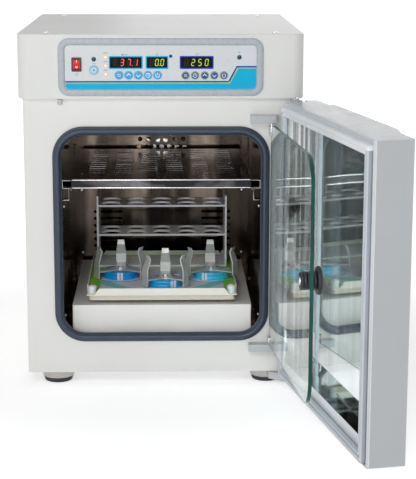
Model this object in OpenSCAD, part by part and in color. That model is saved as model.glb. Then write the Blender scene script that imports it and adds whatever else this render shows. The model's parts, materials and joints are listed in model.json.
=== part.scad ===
/* [Cabinet] */
// Width of the cabinet body
body_w = 407; // [395:1:430]
// Depth of the cabinet body
body_d = 463; // [455:1:490]
// Height of the cabinet body without its feet
body_h = 418.5; // [416:0.5:440]
// Thickness of the painted sheet
sheet = 1.5; // [1:0.1:2]
// Radius of the body's upright front edges
body_edge_r = 4; // [2:0.5:8]
// Thickness of the bottom plate
bottom_t = 2; // [1.5:0.1:3]

/* [Feet] */
// Height of a foot
foot_h = 20; // [18:0.5:30]
// Radius of the metal foot cup at its top
foot_cup_r = 26.5; // [22:0.5:28]
// How far the foot's radius draws in towards the bench
foot_taper = 3; // [1:0.5:4]
// Height of the rubber pad
foot_pad_h = 7; // [6:0.5:10]
// Distance of a foot's centre from the body's side
foot_in_x = 43.5; // [36:0.5:60]
// Distance of a foot's centre from the body's front and back
foot_in_y = 31.5; // [30:0.5:45]
// Radius of the foot's threaded stud
foot_stud_r = 4; // [3:0.5:5]

/* [Hood] */
// Height of the hood
hood_h = 94.5; // [90:0.5:110]
// Overhang of the hood past each side of the body
hood_side_over = 6.5; // [4:0.5:10]
// Overhang of the hood past the front and the back of the body
hood_front_over = 8; // [5:0.5:10]
// Radius of the hood's upright front edges
hood_edge_r = 16; // [10:0.5:18]
// Width of the hood's turned-in lower flange
hood_flange = 20; // [16:1:30]
// Radius of a case screw's head
case_screw_r = 4; // [3:0.1:5]
// Distance of the front case screws from the hood's front
case_screw_front = 26; // [22:1:40]
// Distance of the rear case screws from the hood's back
case_screw_rear = 44; // [30:1:60]
// Distance of the case screws from the hood's side
case_screw_side = 42; // [30:1:60]

/* [Control panel] */
// Width of the panel bezel
bezel_w = 300; // [296:1:310]
// Height of the panel bezel
bezel_h = 84; // [82:1:88]
// Width of the bezel's band
bezel_band = 9.8; // [8:0.1:11]
// Outer corner radius of the bezel
bezel_r = 16; // [12:0.5:18]
// How far the bezel stands proud
bezel_proud = 2.4; // [2:0.1:3]
// Thickness of the fascia
fascia_t = 1.6; // [1.2:0.1:2]
// Radius of the start key
start_key_r = 6.7; // [6:0.1:7.2]
// Radius of a temperature key
heat_key_r = 6.2; // [5.5:0.1:6.5]
// Radius of a speed key
shake_key_r = 5.7; // [5:0.1:6.3]
// Distance between neighbouring keys
key_pitch = 14.05; // [13.6:0.05:14.4]
// Travel of a key
key_travel = 0.5; // [0.3:0.1:0.6]
// Height of the two key rows above the panel's lower edge
key_row = 30.5; // [29:0.5:32]
// Radius of an indicator lamp
lamp_r = 2.2; // [1.8:0.1:2.5]
// Spacing of the indicator lamps
lamp_pitch = 12.4; // [11:0.1:13]
// Height of the display windows
display_h = 15.4; // [14:0.1:17]
// Width of the switch frame
switch_w = 14.7; // [14:0.1:15.5]
// Height of the switch frame
switch_h = 20.5; // [20:0.1:22]
// Tilt of the rocker to either side
rocker_tilt = 8; // [5:0.5:9]

/* [Chamber] */
// Width inside the chamber
chamber_w = 298; // [296:0.5:300]
// Height inside the chamber
chamber_h = 318; // [312:1:320]
// Height of the chamber floor above the bench
chamber_floor = 75; // [74:0.5:76]
// Depth of the usable chamber behind the front plate
chamber_d = 348; // [345:1:360]
// Depth of the air space behind the duct panel
plenum_d = 47; // [46:1:50]
// Thickness of the chamber's polished sheet
liner_t = 1; // [0.8:0.1:1.2]
// Width of the chamber mouth
mouth_w = 297; // [294:0.5:298]
// Height of the chamber mouth
mouth_h = 302.5; // [299:0.5:304]
// Corner radius of the chamber mouth
mouth_r = 33; // [30:0.5:36]
// Height of the chamber mouth's middle
mouth_mid = 233; // [231:0.5:235]
// Width of the rubber gasket
gasket_w = 11; // [10:0.5:12]
// Height of the rubber gasket
gasket_h = 8; // [7:0.1:8]
// Gap from the mouth's edge to the gasket
gasket_in = 1.8; // [1:0.1:3]

/* [Air] */
// Radius of the fan rotor
fan_r = 52; // [45:1:56]
// Height of the fan's axis above the chamber floor
fan_up = 240; // [235:1:245]
// Radius of the fan's shaft
fan_shaft_r = 4; // [3:0.1:5]
// Radius of the heater's ring
heater_ring_r = 66; // [62:1:72]
// Radius of the heater's tube
heater_tube_r = 4; // [3:0.1:5]

/* [Shelf] */
// Height of the shelf deck above the chamber floor
shelf_up = 240; // [232:1:246]
// Width of the shelf deck
shelf_w = 268.8; // [266:0.2:270]
// Height of the shelf's front lip
shelf_lip = 13; // [11:0.5:16]
// Thickness of the shelf's sheet
shelf_t = 1.2; // [1:0.1:1.5]
// Distance from the shelf's lip to the body's front
shelf_back = 13.5; // [12:0.5:20]
// Gap from the shelf's back edge to the duct panel
shelf_rear_gap = 25; // [20:1:40]

/* [Shaker] */
// Width of the drive cover
cover_w = 273; // [268:1:276]
// Depth of the drive cover
cover_d = 314; // [310:1:316]
// Height of the drive cover
cover_h = 45; // [44:0.5:46]
// Distance from the cover's front to the body's front
cover_back = 20.5; // [18:0.5:24]
// Diameter of the orbit
orbit_d = 19; // [10:1:19]
// Width of the platform
platform_w = 230; // [228:1:236]
// Depth of the platform
platform_d = 270; // [266:1:274]
// Height of the platform's rim
rim_h = 11; // [9:0.5:12]
// Thickness of the platform's sheet
tray_t = 1.5; // [1.2:0.1:2]
// Thickness of the carriage plate
carriage_t = 8; // [6:0.5:8]
// Gap between the drive cover and the carriage
carriage_gap = 6; // [4:0.5:7]
// Thickness of the rubber mat
mat_t = 2.4; // [2:0.1:3]
// Radius of the crank pin
crank_pin_r = 5; // [4:0.5:6]
// Radius of an idler pin
idler_pin_r = 4; // [3:0.5:5]
// Radius of the drive motor
motor_r = 40; // [34:1:42]
// Height of the drive motor
motor_h = 46; // [40:1:50]
// Radial clearance of a running fit
running = 0.05; // [0.02:0.01:0.08]
// Distance of each idler from the middle
idler_x = 80; // [74:1:84]
// Distance of the idlers behind the drive axis
idler_y = 72; // [66:1:76]

/* [Clamps and rack] */
// Height of a clamp's magnetic base
clamp_base_h = 12; // [10:0.5:14]
// Height of a clamp finger's tip above the mat
finger_h = 52; // [46:1:56]
// Width of a clamp finger at its foot
finger_w = 16; // [12:0.5:17]
// Width of a clamp finger at its tip
finger_tip_w = 10; // [8:0.5:12]
// Thickness of a clamp finger
finger_t = 1.8; // [1.4:0.1:2.2]
// How far a clamp finger leans in
finger_lean = 8; // [4:0.5:9]
// Radius of a thumb knob
thumb_r = 7.5; // [6:0.5:8]
// Height of a thumb knob
thumb_h = 13; // [11:0.5:15]
// Width of the tube rack
rack_w = 212; // [206:1:216]
// Depth of the tube rack
rack_d = 72; // [70:1:74]
// Height of the tube rack
rack_h = 118; // [112:1:122]
// Radius of a tube socket
socket_r = 15.5; // [14:0.5:16]
// Thickness of the rack's sheets
rack_t = 3; // [2:0.5:4]

/* [Outer door] */
// Width of the outer door
door_w = 409; // [404:1:412]
// Height of the outer door
door_h = 418.4; // [416:0.2:418.6]
// Thickness of the outer door without its raised panel
door_t = 49.5; // [46:0.5:54]
// How far the raised panel stands out
door_raise = 9.2; // [7:0.2:12]
// Angle at which the outer door stands open
door_open = 101; // [90:1:110]
// Depth of the polished recess inside the door
recess_d = 22; // [21:0.5:24]
// Width of the recess
recess_w = 358; // [356:1:360]
// Height of the door's border under the recess
recess_low = 32; // [30:0.5:33]
// Height of the door's border over the recess
recess_top = 21; // [20.8:0.1:22]
// Width of the door's seal
seal_w = 13; // [11:0.5:13]
// Height of the door's seal
seal_h = 9; // [8:0.1:9.5]
// Distance from the door's sides to its seal
seal_in = 6; // [5:0.1:7]
// Distance from the door's top to its seal
seal_top_in = 8; // [7.6:0.1:8.2]
// Distance from the door's bottom to its seal
seal_low_in = 4; // [3:0.1:6]
// Radius of the door's hinge pins
door_pin_r = 3; // [2.5:0.1:3.5]
// Distance of the hinge axis from the door's side
door_pin_side = 6; // [5.5:0.1:7]
// Distance of the hinge axis from the door's inner edge
door_pin_out = 16; // [14:0.5:20]
// Thickness of the hinge plates
hinge_plate_t = 3; // [2:0.1:3]

/* [Glass door] */
// Thickness of the glass
glass_t = 5; // [4:0.5:5]
// Distance from the glass hinge axis to the glass's free edge
glass_reach = 322; // [316:1:326]
// Height of the glass
glass_h = 334.6; // [330:0.2:334.6]
// Radius of the glass's free corners
glass_r = 37; // [30:1:42]
// Angle at which the glass door stands open
glass_open = 95.4; // [85:0.2:100]
// Distance of the glass hinge axis from the middle
glass_pin_x = 163.3; // [163:0.1:166]
// Radius of the glass hinge pins
glass_pin_r = 2.5; // [2:0.1:3]
// Radius of the glass hinge knuckles
knuckle_r = 4.2; // [3.8:0.1:4.6]
// Width of a glass hinge bracket
bracket_w = 41.5; // [38:0.5:46]
// Height of a glass hinge bracket
bracket_h = 11.8; // [10:0.2:12.4]
// Radius of the glass door's outer knob
knob_r = 18.5; // [15:0.5:20]
// Thickness of the glass door's outer knob
knob_t = 6; // [4:0.5:7]
// Radius of the glass door's rubber bushes
bush_r = 12; // [9:0.5:13]
// Length of the bush between glass and knob
bush_out = 8.5; // [6:0.5:9]
// Length of the bush on the inner side
bush_l = 8; // [6:0.5:14]
// Distance of the knob's axis from the glass's free edge
knob_in = 27; // [25:0.5:32]

/* [Hidden] */
$fn = 96;
eps = 0.01;
seat_gap = 0.3;
slip_gap = 0.2;

front_y = -body_d / 2;
back_y = body_d / 2;
body_top = foot_h + body_h;
side_in = body_w / 2 - sheet;
// Foam behind the chamber and the free room for wires behind it
foam_t = 34;
wire_room = 28.5;
// How far the inner parts draw in where the case is too shallow for them
depth_short = max(0, 3 * sheet + chamber_d + plenum_d + liner_t + foam_t + wire_room - body_d);
chamber_in_d = chamber_d - depth_short;
cover_in_d = cover_d - depth_short;
// The chamber widens with a wider shelf or drive cover
rail_room = 12;
cover_room = 8;
chamber_in_w = max(chamber_w, shelf_w + 2 * rail_room, cover_w + 2 * cover_room);
hood_w = body_w + 2 * hood_side_over;
hood_d = body_d + 2 * hood_front_over;
hood_front = -hood_d / 2;
hood_top = body_top + hood_h;
hood_mid = body_top + hood_h / 2;
panel_mid = hood_mid - 0.8;
fascia_w = bezel_w - 2 * bezel_band;
fascia_h = bezel_h - 2 * bezel_band;
window_w = fascia_w - 12;
window_h = fascia_h - 10;
key_z = panel_mid - bezel_h / 2 + key_row;
display_mid = key_z + 18.6;

chamber_top = chamber_floor + chamber_h;
liner_front = front_y + sheet + seat_gap;
duct_y = front_y + sheet + chamber_in_d;
liner_back = duct_y + sheet + plenum_d;
fan_z = chamber_floor + fan_up;
foam_back = liner_back + liner_t + foam_t;
shelf_z = chamber_floor + shelf_up;
gasket_face = front_y - gasket_h;

cover_front = front_y + cover_back;
cover_back_y = cover_front + cover_in_d;
cover_top = chamber_floor + cover_h;
orbit_r = orbit_d / 2;
platform_front = cover_front + 3;
platform_room = duct_y - platform_front - orbit_d - 8;
platform_in_d = min(platform_d, platform_room);
platform_mid = platform_front + platform_in_d / 2;
drive_y = platform_mid + orbit_r;
well_w = 240;
well_front = cover_front + 20;
well_back = cover_back_y - 18;
carriage_z = cover_top + carriage_gap;
tray_z = carriage_z + carriage_t;
mat_z = tray_z + tray_t + 0.1;
mat_top = mat_z + mat_t;
deck_z = cover_top - 30;
housing_top = deck_z + 16;
crank_z = housing_top + 0.4;
crank_disc_t = 5.5;
pin_top = tray_z - 1.5;
pin_hole_r = orbit_r + crank_pin_r + 3;
thumb_x = platform_w / 2 - thumb_r - 1;
thumb_front = platform_front + thumb_r + 3.5;
thumb_back = platform_front + platform_in_d - thumb_r - 3.5;
idler_axis_y = drive_y + idler_y;

// Each clamp has its place, base radius and finger radius
clamps = [
    [-66, platform_front + 110, 28.5, 43],
    [5.5, platform_front + 50, 26, 37],
    [78, platform_front + 106, 28.5, 44]
];
// Lowest point of each clamp's fingers over the mat; the right ones clear the tray's rim
finger_feet = [2, 2, rim_h - mat_t - tray_t + 1];
finger_angles = [-30, 90, 210];
rack_front = thumb_back - thumb_r - rack_d - 1.5;

door_in = front_y - seal_h - seat_gap;
door_out = door_in - door_t;
door_face = door_out - door_raise;
door_top = body_top - 1.1;
door_low = door_top - door_h;
door_pin_x = door_w / 2 - door_pin_side;
door_pin_y = door_in - door_pin_out;
recess_z0 = door_low + recess_low;
recess_z1 = door_top - recess_top;
notch_d = hinge_plate_t - 0.3;
raise_points = [
    [-door_w / 2 + 48, door_out],
    [-door_w / 2 + 88, door_face],
    [door_w / 2 - 69, door_face],
    [door_w / 2 - 50, door_out]
];

glass_y = front_y - gasket_h - seat_gap - glass_t / 2;
glass_low = mouth_mid - glass_h / 2 + 1.1;
glass_top = glass_low + glass_h;
top_bracket_z = glass_top + 1.6;
low_bracket_z = glass_low - 0.6 - bracket_h;
knob_x = glass_pin_x - glass_reach + knob_in;
knob_z = mouth_mid + 2;

// Box between two opposite corners
module box(low, high) {
    translate(low) cube(high - low);
}

// Rectangle with round corners, centred
module round_rect(w, h, r) {
    square([w - 2 * r, h], center = true);
    square([w, h - 2 * r], center = true);
    for (sx = [-1, 1], sy = [-1, 1]) {
        translate([sx * (w / 2 - r), sy * (h / 2 - r)]) circle(r);
    }
}

// Upright slab that faces the front, between y0 and y1
module front_slab(w, h, r, y0, y1, x = 0, z = 0) {
    translate([x, y1, z]) rotate([90, 0, 0]) linear_extrude(y1 - y0) round_rect(w, h, r);
}

// Cylinder along Y between y0 and y1
module rod_y(r, y0, y1, x, z) {
    translate([x, y0, z]) rotate([-90, 0, 0]) cylinder(h = y1 - y0, r = r);
}

// Upright cylinder between z0 and z1
module post(r, z0, z1, x = 0, y = 0) {
    translate([x, y, z0]) cylinder(h = z1 - z0, r = r);
}

// Footprint with round front corners and nearly square back corners
module footprint(w, d, r) {
    translate([-w / 2, -d / 2 + r]) square([w, d - r]);
    translate([-w / 2 + r, -d / 2]) square([w - 2 * r, r + eps]);
    for (sx = [-1, 1]) translate([sx * (w / 2 - r), -d / 2 + r]) circle(r);
}

// Open front frame of a given band width
module front_ring(w, h, r, band, y0, y1, z) {
    difference() {
        front_slab(w, h, r, y0, y1, 0, z);
        front_slab(w - 2 * band, h - 2 * band, max(r - band, 1), y0 - 1, y1 + 1, 0, z);
    }
}

module outer_cabinet() {
    color([0.9, 0.9, 0.89]) difference() {
        translate([0, 0, foot_h]) linear_extrude(body_h) footprint(body_w, body_d, body_edge_r);
        translate([0, sheet, foot_h - 1]) linear_extrude(body_h + 1 - sheet)
            footprint(body_w - 2 * sheet, body_d, max(body_edge_r - sheet, 0.5));
        front_slab(mouth_w, mouth_h, mouth_r, front_y - 1, front_y + sheet + 1, 0, mouth_mid);
    }
}

foot_xs = [-body_w / 2 + foot_in_x, body_w / 2 - foot_in_x];
foot_ys = [front_y + foot_in_y, back_y - foot_in_y];

module bottom_plate() {
    color([0.75, 0.76, 0.77]) difference() {
        box([-side_in + slip_gap, front_y + sheet + slip_gap, foot_h],
            [side_in - slip_gap, back_y, foot_h + bottom_t]);
        for (x = foot_xs, y = foot_ys) {
            post(foot_stud_r + slip_gap, foot_h - 1, foot_h + bottom_t + 1, x, y);
        }
    }
}

inlet_x = body_w / 2 - 80;
inlet_z = foot_h + 70;
inlet_w = 30;
inlet_h = 48;

module rear_panel() {
    louvre_rows = 9;
    color([0.88, 0.88, 0.87]) difference() {
        box([-side_in + slip_gap, back_y - sheet, foot_h + bottom_t + slip_gap],
            [side_in - slip_gap, back_y, body_top - sheet - slip_gap]);
        for (row = [0 : louvre_rows - 1], sx = [-1, 1]) {
            front_slab(92, 4, 1.9, back_y - sheet - 1, back_y + 1, sx * body_w / 6,
                body_top - 60 - row * 11);
        }
        box([inlet_x - inlet_w / 2, back_y - sheet - 1, inlet_z - inlet_h / 2],
            [inlet_x + inlet_w / 2, back_y + 1, inlet_z + inlet_h / 2]);
    }
}

case_screw_xs = [-hood_w / 2 + case_screw_side, hood_w / 2 - case_screw_side];
case_screw_ys = [hood_front + case_screw_front, hood_d / 2 - case_screw_rear];

module hood_cover() {
    inner_w = hood_w - 2 * sheet;
    inner_d = hood_d - 2 * sheet;
    color([0.87, 0.87, 0.86]) difference() {
        translate([0, 0, body_top]) linear_extrude(hood_h) footprint(hood_w, hood_d, hood_edge_r);
        translate([0, 0, body_top + sheet]) linear_extrude(hood_h - 2 * sheet)
            footprint(inner_w, inner_d, hood_edge_r - sheet);
        translate([0, 0, body_top - 1]) linear_extrude(sheet + 2)
            square([hood_w - 2 * hood_flange, hood_d - 2 * hood_flange], center = true);
        front_slab(window_w, window_h, 3, hood_front - 1, hood_front + sheet + 1, 0, panel_mid);
        for (x = case_screw_xs, y = case_screw_ys) {
            post(case_screw_r / 2 + slip_gap, hood_top - sheet - 1, hood_top + 1, x, y);
        }
        for (row = [0 : 3], sx = [-1, 1]) {
            front_slab(92, 4, 1.9, hood_d / 2 - sheet - 1, hood_d / 2 + 1, sx * body_w / 6,
                hood_mid - 16 + row * 11);
        }
    }
}

module case_screws() {
    color([0.55, 0.55, 0.56]) for (x = case_screw_xs, y = case_screw_ys) {
        post(case_screw_r, hood_top, hood_top + 1.6, x, y);
        post(case_screw_r / 2, hood_top - 10, hood_top + eps, x, y);
    }
}

module fascia_bezel() {
    color([0.55, 0.58, 0.62])
        front_ring(bezel_w, bezel_h, bezel_r, bezel_band, hood_front - bezel_proud, hood_front,
            panel_mid);
}

switch_x = -bezel_w / 2 + 27.2;
switch_z = display_mid - 2.9;
start_key_x = switch_x + 25.2;
lamp_x = start_key_x + 17.1;
heat_key_x0 = lamp_x + 19.5;
shake_key_x0 = heat_key_x0 + 4 * key_pitch + 40.8;
start_key_z = key_z + 7.5;
// Middle and width of each display window
displays = [[lamp_x + 29.4, 46], [lamp_x + 74.9, 29.7], [lamp_x + 132.8, 46]];
// Place and radius of each dark telltale
telltales = [[start_key_x, 23.4, 2.9], [lamp_x + 94.9, 27.7, 2], [lamp_x + 195.1, 26, 2.9]];
key_places = concat([[start_key_x, start_key_z, start_key_r]],
    [for (i = [0 : 4]) [heat_key_x0 + i * key_pitch, key_z, heat_key_r]],
    [for (i = [0 : 4]) [shake_key_x0 + i * key_pitch, key_z - 0.4, shake_key_r]]);
key_gap = 0.25;
key_front = hood_front - fascia_t - 0.9;
key_back = hood_front + 1.2;
display_front = hood_front - fascia_t + 0.2;
module_front = hood_front + 2.3;
board_y = hood_front + 12;
board_low_x = switch_x + switch_w / 2 + 5;
board_high_x = fascia_w / 2 - 1;
board_post_z = window_h / 2 + 4;

module fascia_panel() {
    color([0.93, 0.95, 0.97]) difference() {
        front_slab(fascia_w - 2 * slip_gap, fascia_h - 2 * slip_gap, bezel_r - bezel_band - slip_gap,
            hood_front - fascia_t, hood_front, 0, panel_mid);
        for (k = key_places) rod_y(k[2] + key_gap, hood_front - 5, hood_front + 1, k[0], k[1]);
        for (i = [-1 : 1]) {
            rod_y(lamp_r + 0.1, hood_front - 5, hood_front + 1, lamp_x,
                start_key_z + 0.2 + (i + 0.5) * lamp_pitch);
        }
        for (t = telltales) rod_y(t[2] + 0.1, hood_front - 5, hood_front + 1, t[0], key_z + t[1]);
        for (d = displays) front_slab(d[1] + 0.3, display_h + 0.3, 1, hood_front - 5,
            hood_front + 1, d[0], display_mid);
        box([switch_x - switch_w / 2 + 1.2, hood_front - 5, switch_z - switch_h / 2 + 1.2],
            [switch_x + switch_w / 2 - 1.2, hood_front + 1, switch_z + switch_h / 2 - 1.2]);
    }
}

module display_windows() {
    color([0.05, 0.06, 0.05]) for (d = displays) {
        front_slab(d[1], display_h, 0.8, display_front, module_front - slip_gap, d[0], display_mid);
    }
}

module indicator_lamps() {
    color([0.95, 0.85, 0.3]) {
        for (i = [-1 : 1]) {
            rod_y(lamp_r, hood_front - fascia_t - 0.4, module_front - slip_gap, lamp_x,
                start_key_z + 0.2 + (i + 0.5) * lamp_pitch);
        }
        for (t = telltales) {
            rod_y(t[2], hood_front - fascia_t - 0.2, module_front - slip_gap, t[0], key_z + t[1]);
        }
    }
}

slot_w = switch_w - 4.6;
slot_h = switch_h - 4.2;
rocker_pivot_y = hood_front + 1.5;
switch_depth = 15;

module power_switch_frame() {
    color([0.06, 0.06, 0.06]) difference() {
        union() {
            front_slab(switch_w, switch_h, 1, hood_front - fascia_t - 1.2, hood_front - fascia_t,
                switch_x, switch_z);
            box([switch_x - switch_w / 2 + 1.4, hood_front - fascia_t - eps,
                switch_z - switch_h / 2 + 1.4],
                [switch_x + switch_w / 2 - 1.4, hood_front + switch_depth,
                    switch_z + switch_h / 2 - 1.4]);
        }
        box([switch_x - slot_w / 2, hood_front - 10, switch_z - slot_h / 2],
            [switch_x + slot_w / 2, hood_front + switch_depth - 3, switch_z + slot_h / 2]);
    }
}

module power_rocker() {
    half_w = slot_w / 2 - slip_gap;
    end_r = slot_h / 2 - slip_gap;
    color([0.85, 0.08, 0.06]) translate([switch_x, rocker_pivot_y, switch_z])
        rotate([-rocker_tilt, 0, 0])
        intersection() {
            translate([-half_w, 0, 0]) rotate([90, 0, 90]) linear_extrude(2 * half_w)
                polygon([[-5.6, -end_r - 1], [-4.4, 0], [-5.6, end_r + 1], [6, end_r + 1],
                    [6, -end_r - 1]]);
            translate([-half_w - 1, 0, 0]) rotate([0, 90, 0]) cylinder(h = 2 * half_w + 2, r = end_r);
        }
}

module control_board() {
    color([0.1, 0.35, 0.2]) {
        box([board_low_x, board_y, panel_mid - board_post_z - 3],
            [board_high_x, board_y + 1.6, panel_mid + board_post_z + 3]);
        for (x = [board_low_x + 3, board_high_x - 3], s = [-1, 1]) {
            rod_y(2, hood_front + sheet, board_y + eps, x, panel_mid + s * board_post_z);
        }
        for (d = displays) {
            front_slab(d[1] - 1, display_h - 1, 0.5, module_front, board_y + eps, d[0], display_mid);
        }
        for (k = key_places) rod_y(2, key_back + key_travel + 0.1, board_y + eps, k[0], k[1]);
        for (i = [-1 : 1]) {
            rod_y(1.5, module_front, board_y + eps, lamp_x, start_key_z + 0.2 + (i + 0.5) * lamp_pitch);
        }
        for (t = telltales) rod_y(1.5, module_front, board_y + eps, t[0], key_z + t[1]);
    }
}

module key(i) {
    k = key_places[i];
    rod_y(k[2], key_front, key_back, k[0], k[1]);
}

module start_key() {
    color([0.3, 0.65, 0.85]) key(0);
}

module heat_key(i) {
    color([0.35, 0.75, 0.9]) key(i);
}

module shake_key(i) {
    color([0.1, 0.2, 0.5]) key(5 + i);
}

module chamber_liner() {
    outer_w = chamber_in_w + 2 * liner_t;
    color([0.45, 0.42, 0.4]) difference() {
        union() {
            box([-outer_w / 2, liner_front, chamber_floor - liner_t],
                [outer_w / 2, liner_back + liner_t, chamber_top + liner_t]);
            box([-outer_w / 2 - 9, liner_front, chamber_floor - liner_t - 9],
                [outer_w / 2 + 9, liner_front + liner_t, chamber_top + liner_t + 9]);
        }
        box([-chamber_in_w / 2, liner_front - 1, chamber_floor],
            [chamber_in_w / 2, liner_back, chamber_top]);
        box([-well_w / 2, well_front, chamber_floor - liner_t - 1],
            [well_w / 2, well_back, chamber_floor + 1]);
        rod_y(fan_shaft_r + 3, liner_back - 1, liner_back + liner_t + 1, 0, fan_z);
    }
}

module insulation() {
    gap = seat_gap;
    outer_w = chamber_in_w + 2 * liner_t;
    color([0.85, 0.8, 0.6]) difference() {
        box([-side_in + 1, liner_front + liner_t + gap, foot_h + bottom_t + gap],
            [side_in - 1, foam_back, body_top - sheet - gap]);
        box([-outer_w / 2 - gap, liner_front, chamber_floor - liner_t - gap],
            [outer_w / 2 + gap, liner_back + liner_t + gap, chamber_top + liner_t + gap]);
        box([-well_w / 2 - 4, well_front - 4, foot_h], [well_w / 2 + 4, well_back + 4, chamber_floor]);
        rod_y(34, liner_back, foam_back + 1, 0, fan_z);
        for (x = foot_xs, y = foot_ys) post(foot_stud_r + 3, foot_h, foot_h + 20, x, y);
    }
}

module chamber_gasket() {
    outer_w = mouth_w + 2 * (gasket_w + gasket_in);
    outer_h = mouth_h + 2 * (gasket_w + gasket_in);
    outer_r = mouth_r + gasket_w + gasket_in;
    bead = gasket_w - 4;
    color([0.25, 0.3, 0.38]) {
        front_ring(outer_w, outer_h, outer_r, gasket_w, front_y - gasket_h / 2, front_y, mouth_mid);
        front_ring(outer_w - 4, outer_h - 4, outer_r - 2, bead, gasket_face,
            front_y - gasket_h / 2 + eps, mouth_mid);
    }
}

module air_duct_panel() {
    hole_r = 4;
    ring_counts = [6, 12, 18];
    color([0.62, 0.6, 0.57]) difference() {
        box([-chamber_in_w / 2 + seat_gap, duct_y, chamber_floor + seat_gap],
            [chamber_in_w / 2 - seat_gap, duct_y + sheet, chamber_top - seat_gap]);
        rod_y(hole_r, duct_y - 1, duct_y + sheet + 1, 0, fan_z);
        for (ring = [1 : 3]) for (i = [1 : ring_counts[ring - 1]]) {
            a = i * 360 / ring_counts[ring - 1];
            rod_y(hole_r, duct_y - 1, duct_y + sheet + 1, ring * 13 * cos(a),
                fan_z + ring * 13 * sin(a));
        }
        for (sx = [-1, 1], row = [0 : 5]) {
            front_slab(50, 5, 2.4, duct_y - 1, duct_y + sheet + 1, sx * chamber_in_w / 3.2,
                chamber_floor + cover_h + 22 + row * 12);
        }
    }
}

fan_front = duct_y + sheet + 5;
fan_hub_r = 14;
motor_back = liner_back + liner_t + 30;

module fan_motor() {
    color([0.2, 0.2, 0.22]) difference() {
        union() {
            rod_y(28, liner_back + liner_t, motor_back, 0, fan_z);
            rod_y(32, liner_back + liner_t, liner_back + liner_t + 3, 0, fan_z);
        }
        rod_y(fan_shaft_r + running, liner_back, motor_back - 6, 0, fan_z);
    }
}

module fan_rotor() {
    blades = 7;
    blade_w = 20;
    color([0.6, 0.62, 0.64]) union() {
        rod_y(fan_hub_r, fan_front, fan_front + blade_w + 2, 0, fan_z);
        rod_y(fan_shaft_r, fan_front + 2, motor_back - 8, 0, fan_z);
        for (i = [1 : blades]) translate([0, 0, fan_z]) rotate([0, i * 360 / blades, 0])
            box([fan_hub_r - 2, fan_front + 1, -1], [fan_r, fan_front + 1 + blade_w, 1]);
    }
}

module heater_ring() {
    ring_y = liner_back - heater_tube_r - 4;
    color([0.5, 0.42, 0.35]) union() {
        translate([0, ring_y, fan_z]) rotate([90, 0, 0]) rotate_extrude()
            translate([heater_ring_r, 0]) circle(heater_tube_r, $fn = 48);
        for (sx = [-1, 1]) rod_y(heater_tube_r - 1, ring_y, liner_back, sx * heater_ring_r, fan_z);
    }
}

module temperature_probe() {
    probe_z = chamber_top - 22;
    color([0.7, 0.7, 0.72]) {
        rod_y(2, duct_y - 45, duct_y + eps, chamber_in_w / 4, probe_z);
        rod_y(6, duct_y - 5, duct_y, chamber_in_w / 4, probe_z);
    }
}

rail_out = chamber_in_w / 2 - seat_gap;
rail_in = shelf_w / 2 + 0.4;
rail_low = shelf_z - shelf_lip;
rail_front = front_y + shelf_back - 4;
rail_back = duct_y - seat_gap;
shelf_front = front_y + shelf_back;
shelf_end = duct_y - shelf_rear_gap;

module shelf_rails() {
    tab = 18;
    tab_w = 11;
    color([0.6, 0.58, 0.56]) for (sx = [0, 1]) mirror([sx, 0, 0]) {
        box([rail_out - shelf_t, rail_front, rail_low], [rail_out, rail_back, shelf_z]);
        box([rail_in, rail_front, rail_low], [rail_out, rail_back, rail_low + shelf_t]);
        box([rail_in, rail_front, shelf_z - shelf_t], [rail_out, rail_back, shelf_z]);
        for (y = [rail_front, rail_back - 40]) {
            box([rail_out - tab_w, y, rail_low - tab], [rail_out - tab_w + shelf_t, y + 14,
                rail_low + eps]);
            box([rail_out - tab_w, y, rail_low - tab], [rail_out, y + 14, rail_low - tab + shelf_t]);
        }
    }
}

module shelf() {
    slot_l = 30;
    slot_h = 6;
    columns = 6;
    rows = 14;
    flange_z = rail_low + shelf_t + seat_gap;
    pitch_x = (shelf_w - 30) / columns;
    pitch_y = (shelf_end - shelf_front - 24) / rows;
    color([0.7, 0.69, 0.68]) union() {
        translate([0, 0, shelf_z - shelf_t]) linear_extrude(shelf_t) difference() {
            translate([-shelf_w / 2, shelf_front]) square([shelf_w, shelf_end - shelf_front]);
            for (c = [0 : columns - 1], r = [0 : rows - 1]) {
                translate([(c - (columns - 1) / 2) * pitch_x, shelf_front + 12 + (r + 0.5) * pitch_y])
                    round_rect(slot_l, slot_h, slot_h / 2 - eps);
            }
        }
        box([-shelf_w / 2, shelf_front, shelf_z - shelf_lip],
            [shelf_w / 2, shelf_front + shelf_t, shelf_z - eps]);
        box([-shelf_w / 2, shelf_end - shelf_t, shelf_z - shelf_lip],
            [shelf_w / 2, shelf_end, shelf_z - eps]);
        for (sx = [0, 1]) mirror([sx, 0, 0]) {
            box([shelf_w / 2 - shelf_t, shelf_front, flange_z],
                [shelf_w / 2, shelf_end, shelf_z - eps]);
            box([shelf_w / 2 - shelf_t, shelf_front + 2, flange_z],
                [rail_out - shelf_t - seat_gap, shelf_end, flange_z + shelf_t]);
        }
    }
}

module drive_cover() {
    mid_y = (cover_front + cover_back_y) / 2;
    color([0.92, 0.91, 0.88]) difference() {
        translate([0, mid_y, chamber_floor]) linear_extrude(cover_h) round_rect(cover_w, cover_in_d, 2);
        translate([0, mid_y, chamber_floor - 1]) linear_extrude(cover_h + 1 - sheet)
            round_rect(cover_w - 2 * sheet, cover_in_d - 2 * sheet, 0.6);
        post(pin_hole_r, cover_top - sheet - 1, cover_top + 1, 0, drive_y);
        for (sx = [-1, 1]) post(pin_hole_r, cover_top - sheet - 1, cover_top + 1, sx * idler_x,
            idler_axis_y);
    }
}

base_front = well_front + 6;
base_back = well_back - 6;
base_half = well_w / 2 - 6;

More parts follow.
